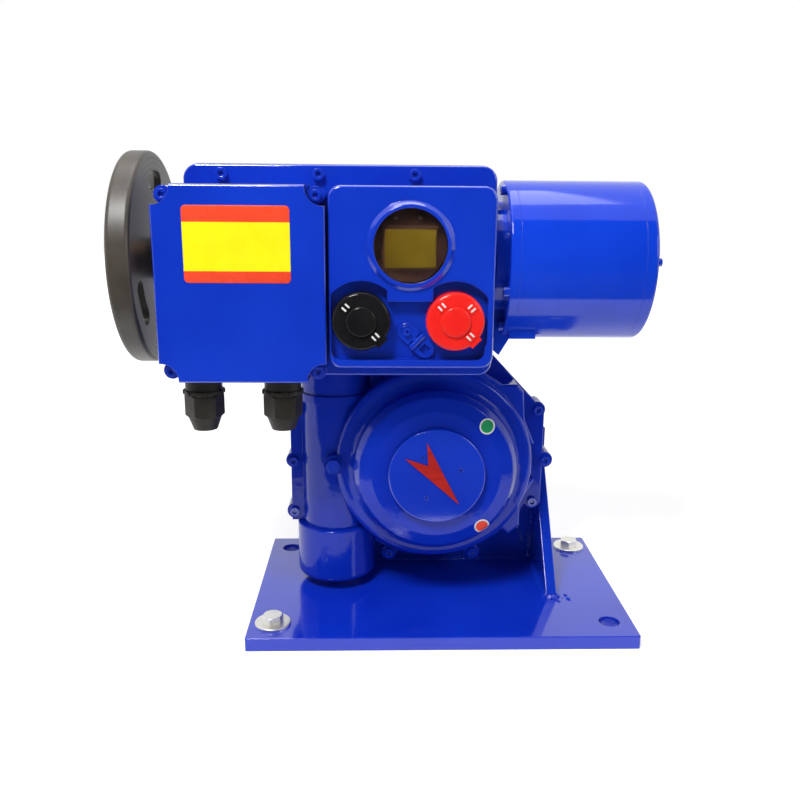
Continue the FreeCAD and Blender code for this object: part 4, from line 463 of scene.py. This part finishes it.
def add_lathe(bm, profile, origin, axis, count=24):
    """A turned piece: (radius, height) points about an axis."""
    axis = axis.normalized()
    side = axis.orthogonal().normalized()
    other = axis.cross(side)
    tip = 0.02 * MM
    loops = [round_loop(origin + axis * height, side, other, max(radius, tip), count)
             for radius, height in profile]
    add_loops(bm, loops)


def in_millimetres(profile):
    return [(radius * MM, height * MM) for radius, height in profile]


def surface_of(node):
    """A node's surface, for casting rays at it."""
    mesh = nodes[node].data
    points = [vertex.co.copy() for vertex in mesh.vertices]
    return BVHTree.FromPolygons(points, [tuple(p.vertices) for p in mesh.polygons])


# Stickers

def make_lid_sticker():
    """A blank banded sticker on the terminal box's lid."""
    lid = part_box("terminal_lid")[0]
    width, height, corner = 95.0 * MM, 68.0 * MM, 4.0 * MM
    from_left, from_bottom = 28.0 * MM, 92.0 * MM
    thick, edge = 0.3 * MM, 0.1 * MM
    top_band, low_band = 14.5 * MM, 10.5 * MM
    origin = Vector((lid.x + from_left + width / 2, lid.y, lid.z + from_bottom + height / 2))
    bm = bmesh.new()
    add_plate(bm, rounded_rectangle(width, height, corner), origin, AXIS_X, AXIS_Z, thick, edge)
    yellow_top = origin.z + height / 2 - top_band
    yellow_low = origin.z - height / 2 + low_band
    for level in (yellow_top, yellow_low):
        geometry = bm.verts[:] + bm.edges[:] + bm.faces[:]
        bmesh.ops.bisect_plane(bm, geom=geometry, plane_co=(0, 0, level), plane_no=(0, 0, 1))
    for face in bm.faces:
        level = face.calc_center_median().z
        face.material_index = 1 if yellow_low < level < yellow_top else 0
    make_piece("lid_sticker", bm, "frame", None, VINYL_RED, VINYL_YELLOW)


def make_round_sticker(name, x, z, finish, case):
    """A round sticker with a white rim, laid on the domed nose along the line of sight."""
    radius, thick, lift = 8.2 * MM, 0.3 * MM, 0.2 * MM
    rings, first_white = (0.25, 0.5, 0.7, 0.8, 0.9, 1.0), 3
    count = 36
    in_front = -0.2
    bm = bmesh.new()

    def laid(share, angle):
        start = Vector((x + radius * share * math.cos(angle), in_front,
                        z + radius * share * math.sin(angle)))
        return bm.verts.new(case.ray_cast(start, AXIS_Y)[0] - AXIS_Y * lift)

    rows = [[laid(share, 2 * math.pi * i / count) for i in range(count)] for share in rings]
    middle = laid(0.0, 0.0)
    for i in range(count):
        bm.faces.new((middle, rows[0][i], rows[0][(i + 1) % count]))
    for k, (first, second) in enumerate(zip(rows, rows[1:])):
        add_band(bm, first, second, material=1 if k >= first_white else 0)
    item = make_piece(name, bm, "frame", None, finish, VINYL_WHITE)
    thicken = item.modifiers.new("thickness", "SOLIDIFY")
    thicken.thickness = thick
    thicken.offset = 0.0


def make_stickers():
    case = surface_of("gear_case")
    make_lid_sticker()
    make_round_sticker("green_sticker", 45.3 * MM, 215.5 * MM, VINYL_GREEN, case)
    make_round_sticker("red_sticker", 43.4 * MM, 105.6 * MM, VINYL_RED, case)


# Welds

def bead_loop(at, wall, floor, reach):
    """A weld bead's section: a bulge between two faces, given by their normals."""
    steps, sink = 6, 0.6 * MM
    loop = [at - (wall + floor) * sink]
    for i in range(steps + 1):
        angle = math.pi / 2 * i / steps
        bulge = reach * (0.80 + 0.20 * abs(math.cos(2 * angle)))
        loop.append(at + wall * (bulge * math.cos(angle)) + floor * (bulge * math.sin(angle)))
    return loop


def make_bead(name, start, end, wall, floor, size=5.0 * MM):
    """A rippled weld bead in the corner between two faces, thinner at both ends."""
    pitch, ripple, pace, scatter = 1.1 * MM, 0.10, 1.9, 0.07
    end_share, share_per_step = 0.45, 0.25
    along = (end - start).normalized()
    length = (end - start).length
    steps = max(int(length / pitch), 4)
    loops = []
    for k in range(steps + 1):
        at = start + along * (length * k / steps)
        swell = 1.0 + ripple * math.sin(k * pace) + random.uniform(-scatter, scatter)
        taper = min(1.0, end_share + share_per_step * min(k, steps - k))
        loops.append(bead_loop(at, wall, floor, size * swell * taper))
    bm = bmesh.new()
    add_loops(bm, loops)
    make_piece(name, bm, "frame", "blue_paint", WELD, sharp=80.0)


def make_spatter(corner):
    """Small drops of weld metal round the gusset's toe."""
    drops, sink = 16, 0.3 * MM
    dome = ((1.0, 0.25), (0.8, 0.55), (0.4, 0.75), (0.0, 0.8))
    bm = bmesh.new()
    for _ in range(drops):
        radius = random.uniform(0.9, 2.4) * MM
        place = corner + Vector((random.uniform(-9, 14), random.uniform(-9, 12), 0)) * MM
        profile = [(radius, -sink)]
        profile += [(radius * wide, radius * high) for wide, high in dome]
        add_lathe(bm, profile, place, AXIS_Z, count=10)
    make_piece("weld_spatter", bm, "frame", "blue_paint", WELD)


def make_welds():
    """The beads of the upright plate and its gusset."""
    gusset_low, gusset_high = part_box("side_gusset")
    plate_low, plate_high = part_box("bracket_plate")
    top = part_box("base_plate")[1].z
    front, back, toe = plate_low.y, plate_high.y, gusset_low.y
    left, right = gusset_low.x, gusset_high.x
    narrow = 4.0 * MM
    make_bead("weld_gusset_left", Vector((left, toe, top)), Vector((left, front, top)),
              -AXIS_X, AXIS_Z)
    make_bead("weld_gusset_right", Vector((right, toe, top)), Vector((right, back, top)),
              AXIS_X, AXIS_Z)
    make_bead("weld_gusset_toe", Vector((left, toe, top)), Vector((right, toe, top)),
              -AXIS_Y, AXIS_Z, narrow)
    make_bead("weld_bracket_front", Vector((plate_low.x, front, top)),
              Vector((left, front, top)), -AXIS_Y, AXIS_Z)
    make_bead("weld_bracket_back", Vector((plate_low.x, back, top)),
              Vector((plate_high.x, back, top)), AXIS_Y, AXIS_Z)
    make_bead("weld_gusset_upright", Vector((left, front, top)),
              Vector((left, front, gusset_high.z)), -AXIS_X, -AXIS_Y, narrow)
    make_spatter(Vector((right, toe, top)))


# Seams

def make_seam(name, node, y, outline_of, *corner):
    """A thin gasket line round a node's outline, at a parting plane."""
    low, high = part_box(node)
    radius = 0.55 * MM
    middle = Vector(((low.x + high.x) / 2, y, (low.z + high.z) / 2))
    outline = outline_of(high.x - low.x, high.z - low.z, *corner)
    count = len(outline)
    loops = []
    for k, point in enumerate(outline):
        before, after = outline[k - 1], outline[(k + 1) % count]
        along = Vector((after[0] - before[0], 0, after[1] - before[1])).normalized()
        at = middle + Vector((point[0], 0, point[1]))
        loops.append(round_loop(at, along.cross(AXIS_Y), AXIS_Y, radius))
    bm = bmesh.new()
    add_loops(bm, loops, closed_path=True)
    make_piece(name, bm, "frame", "gland_rubber", RUBBER)


def make_seams():
    corner_steps = 8
    make_seam("rear_lid_seam", "rear_lid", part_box("rear_lid")[0].y,
              rounded_rectangle, REAR_LID_CORNER, corner_steps)
    make_seam("front_plate_seam", "front_plate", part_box("front_plate")[1].y,
              rounded_rectangle, FRONT_PLATE_CORNER, corner_steps)
    low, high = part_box("terminal_box")
    for name, y in (("terminal_lid_seam", low.y), ("terminal_box_seam", high.y)):
        make_seam(name, "terminal_box", y, notched_rectangle, BOX_NOTCH, BOX_NOTCH_INSET)


# Controls

def make_knob_marks(name, body, slot, angles, finish):
    """Raised pads near the knob's rim, each with two plain white bars."""
    low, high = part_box(f"{name}_knob")
    boss_rise, pad_rise, bar_rise = 3.0 * MM, 0.7 * MM, 0.3 * MM
    pad_edge, bar_edge = 0.2 * MM, 0.1 * MM
    mark_circle, bar_shift = 19.0, 2.2
    pad = rounded_rectangle(9.0 * MM, 9.6 * MM, 1.0 * MM, 3)
    bar = rounded_rectangle(5.4 * MM, 1.7 * MM, 0.5 * MM, 2)
    centre = Vector(((low.x + high.x) / 2, low.y + boss_rise, (low.z + high.z) / 2))
    bm = bmesh.new()
    for angle in angles:
        turn = math.radians(angle)
        out = Vector((math.cos(turn), 0, math.sin(turn)))
        aside = out.cross(AXIS_Y)
        middle = centre + out * mark_circle * MM
        add_plate(bm, pad, middle, out, aside, pad_rise, pad_edge)
        for shift in (-bar_shift, bar_shift):
            place = middle + aside * shift * MM - AXIS_Y * pad_rise
            add_plate(bm, bar, place, out, aside, bar_rise, bar_edge, material=1)
    make_piece(f"{name}_knob_marks", bm, body, slot, finish, VINYL_WHITE)


def make_display():
    """The screen in its frame and the lenses of the two lamps, behind the glass."""
    low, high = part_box("display_board")
    centre = (low.x + high.x) / 2
    screen = rounded_rectangle(46.5 * MM, 34.4 * MM, 1.2 * MM, 3)
    screen_height, screen_thick, screen_edge = 30.5 * MM, 0.5 * MM, 0.2 * MM
    lamp_shifts, lamp_inset, lamp_height = (-13.5, 9.0), 1.0 * MM, 58.2 * MM
    lens = in_millimetres([(2.2, 0.0), (2.1, 0.6), (1.5, 1.2), (0.0, 1.5)])
    bm = bmesh.new()
    add_plate(bm, screen, Vector((centre, low.y, low.z + screen_height)), AXIS_X, AXIS_Z,
              screen_thick, screen_edge)
    make_piece("display_screen", bm, "frame", "display", SCREEN)
    bm = bmesh.new()
    for shift in lamp_shifts:
        place = Vector((centre + shift * MM, low.y + lamp_inset, low.z + lamp_height))
        add_lathe(bm, lens, place, -AXIS_Y, count=16)
    make_piece("display_lamps", bm, "frame", "display", LAMP)


def make_neck_screw():
    """The small dark set screw in the head's neck."""
    place = Vector((-133.9, -14.4, 263.6)) * MM
    out = Vector((-0.52, -0.85, 0.0))
    profile = in_millimetres([(3.4, -2.0), (3.4, 1.6), (3.0, 2.0), (1.9, 2.0), (1.7, 0.6),
                              (0.0, 0.5)])
    bm = bmesh.new()
    add_lathe(bm, profile, place, out, count=18)
    make_piece("neck_screw", bm, "frame", "dark_steel", DARK_STEEL)


def make_hasp_ridges():
    """Raised grip ridges on the hasp's round end."""
    low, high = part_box("hasp_screw")
    rise, ridge_radii, half_thick = 3.2 * MM, (5.3, 7.2), 0.5 * MM
    first_angle, sweep, steps = 74.0, 124.0, 12
    centre = Vector(((low.x + high.x) / 2, low.y + rise, (low.z + high.z) / 2))
    bm = bmesh.new()
    for radius in ridge_radii:
        loops = []
        for i in range(steps + 1):
            angle = math.radians(first_angle + sweep * i / steps)
            out = Vector((math.cos(angle), 0, math.sin(angle)))
            loops.append(round_loop(centre + out * radius * MM, out, -AXIS_Y, half_thick))
        add_loops(bm, loops)
    make_piece("hasp_ridges", bm, "frame", "blue_paint", BLUE)


def make_gland_collars():
    """The ring of small lugs round each gland's flange, above its nut."""
    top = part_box("gland_nuts")[1].z
    low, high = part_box("gland_seals")
    seal_radius, y = (high.y - low.y) / 2, (high.y + low.y) / 2
    count, phase, lug_circle, rise = 10, 0.35, 17.9, 2.2 * MM
    lug_thick, lug_edge = 2.0 * MM, 0.7 * MM
    lug = rounded_rectangle(6.0 * MM, 4.0 * MM, 1.0 * MM, 3)
    for side, x in (("left", low.x + seal_radius), ("right", high.x - seal_radius)):
        bm = bmesh.new()
        for i in range(count):
            angle = 2 * math.pi * (i + phase) / count
            out = Vector((math.cos(angle), math.sin(angle), 0))
            place = Vector((x, y, top + rise)) + out * lug_circle * MM
            add_plate(bm, lug, place, AXIS_Z.cross(out), AXIS_Z, lug_thick, lug_edge)
        make_piece(f"gland_collar_{side}", bm, "frame", "gland_plastic", NYLON)


# Stage

def make_camera():
    """The photograph's camera."""
    data = bpy.data.cameras.new("camera")
    data.lens = CAMERA_LENS
    data.sensor_width = CAMERA_SENSOR
    data.clip_start = CAMERA_CLIP
    camera = bpy.data.objects.new("camera", data)
    turn = Matrix.Rotation(math.radians(CAMERA_YAW), 4, "Z")
    tilt = Matrix.Rotation(math.radians(90.0 - CAMERA_PITCH), 4, "X")
    roll = Matrix.Rotation(math.radians(CAMERA_ROLL), 4, "Z")
    camera.matrix_world = Matrix.Translation(CAMERA_PLACE) @ turn @ tilt @ roll
    bpy.context.scene.collection.objects.link(camera)
    bpy.context.scene.camera = camera


def make_lamp(name, place, size, power):
    """An area lamp aimed at the middle of the object."""
    data = bpy.data.lights.new(name, "AREA")
    data.shape = "RECTANGLE"
    data.size, data.size_y = size
    data.energy = power
    light = bpy.data.objects.new(name, data)
    light.location = place
    aim = Vector(LAMP_TARGET) - Vector(place)
    light.rotation_euler = aim.to_track_quat("-Z", "Y").to_euler()
    bpy.context.scene.collection.objects.link(light)


def shows_background(tree):
    """1 for the rays that see the background: camera, mirror and glass rays."""
    path = tree.nodes.new("ShaderNodeLightPath")
    total = path.outputs["Is Camera Ray"]
    for name in ("Is Glossy Ray", "Is Transmission Ray"):
        larger = tree.nodes.new("ShaderNodeMath")
        larger.operation = "MAXIMUM"
        tree.links.new(total, larger.inputs[0])
        tree.links.new(path.outputs[name], larger.inputs[1])
        total = larger.outputs[0]
    return total


def make_world():
    """A world that lights softly and shows as white."""
    world = bpy.data.worlds.new("studio")
    world.use_nodes = True
    tree = world.node_tree
    background = tree.nodes["Background"]
    background.inputs["Color"].default_value = WHITE
    strength = tree.nodes.new("ShaderNodeMapRange")
    strength.inputs["To Min"].default_value = WORLD_LIGHT
    strength.inputs["To Max"].default_value = 1.0
    tree.links.new(shows_background(tree), strength.inputs["Value"])
    tree.links.new(strength.outputs["Result"], background.inputs["Strength"])
    bpy.context.scene.world = world


def stage_object(name, points, faces, material):
    """A mesh of the stage, which is no piece of the object."""
    mesh = bpy.data.meshes.new(name)
    mesh.from_pydata(points, [], faces)
    mesh.materials.append(material)
    item = bpy.data.objects.new(name, mesh)
    bpy.context.scene.collection.objects.link(item)
    return item


def floor_material():
    """Pale grey that takes the shadow, with a white of its own that grows with distance."""
    s = Shader("pale_floor")
    grain = s.noise(scale=30.0, detail=2.0)
    s.set_colour(grain, grey(0.86), grey(0.90))
    s.set(Roughness=0.9, Specular_IOR_Level=0.2)
    distance = s.node("ShaderNodeVectorMath", operation="LENGTH")
    s.link(*s.place, distance, "Vector")
    lift = s.spread(distance, "Value", FLOOR_LIFT, 1.0, FLOOR_LIFT_START, FLOOR_LIFT_END)
    shown = s.node("ShaderNodeMath", operation="MULTIPLY")
    s.tree.links.new(lift.outputs["Result"], shown.inputs[0])
    s.tree.links.new(shows_background(s.tree), shown.inputs[1])
    glow = s.node("ShaderNodeEmission")
    glow.inputs["Color"].default_value = WHITE
    s.link(shown, "Value", glow, "Strength")
    both = s.node("ShaderNodeAddShader")
    s.tree.links.new(s.surface.outputs["BSDF"], both.inputs[0])
    s.tree.links.new(glow.outputs["Emission"], both.inputs[1])
    s.link(both, "Shader", s.output, "Surface")
    return s.material


def make_floor():
    """A pale floor that shows white to the camera and keeps the shadow."""
    reach, below = 6.0, -0.0002
    corners = [(-reach, -reach, below), (reach, -reach, below), (reach, reach, below),
               (-reach, reach, below)]
    floor = stage_object("floor", corners, [(0, 1, 2, 3)], floor_material())


def dark_cloth():
    s = Shader("dark_cloth")
    weave = s.noise(scale=8.0, detail=2.0)
    s.set_colour(weave, grey(0.02), grey(0.04))
    s.set(Roughness=0.9, Specular_IOR_Level=0.1)
    return s.material


def make_dark_wall():
    """The dark end of the studio behind the camera, which only mirrors and glass show."""
    reach, height, far, near, above = 3.0, 4.0, -1.9, -0.36, 0.001
    profile = [(near, above), (far, above), (far, height)]
    corners = [(side * reach, y, z) for y, z in profile for side in (-1, 1)]
    wall = stage_object("dark_wall", corners, [(0, 1, 3, 2), (2, 3, 5, 4)], dark_cloth())
    wall.visible_camera = False
    wall.visible_diffuse = False
    wall.visible_shadow = False


def light_scene():
    make_world()
    for lamp in LAMPS:
        make_lamp(*lamp)
    make_dark_wall()
    make_floor()


finish_nodes()
make_stickers()
make_welds()
make_seams()
make_knob_marks("black", "selector_black", "black_plastic", (137.0, -46.0), KNOB_BLACK)
make_knob_marks("red", "selector_red", "red_plastic", (133.0, 42.0, -44.0), KNOB_RED)
make_display()
make_neck_screw()
make_hasp_ridges()
make_gland_collars()
make_camera()
light_scene()

bpy.context.scene.view_settings.view_transform = "Standard"
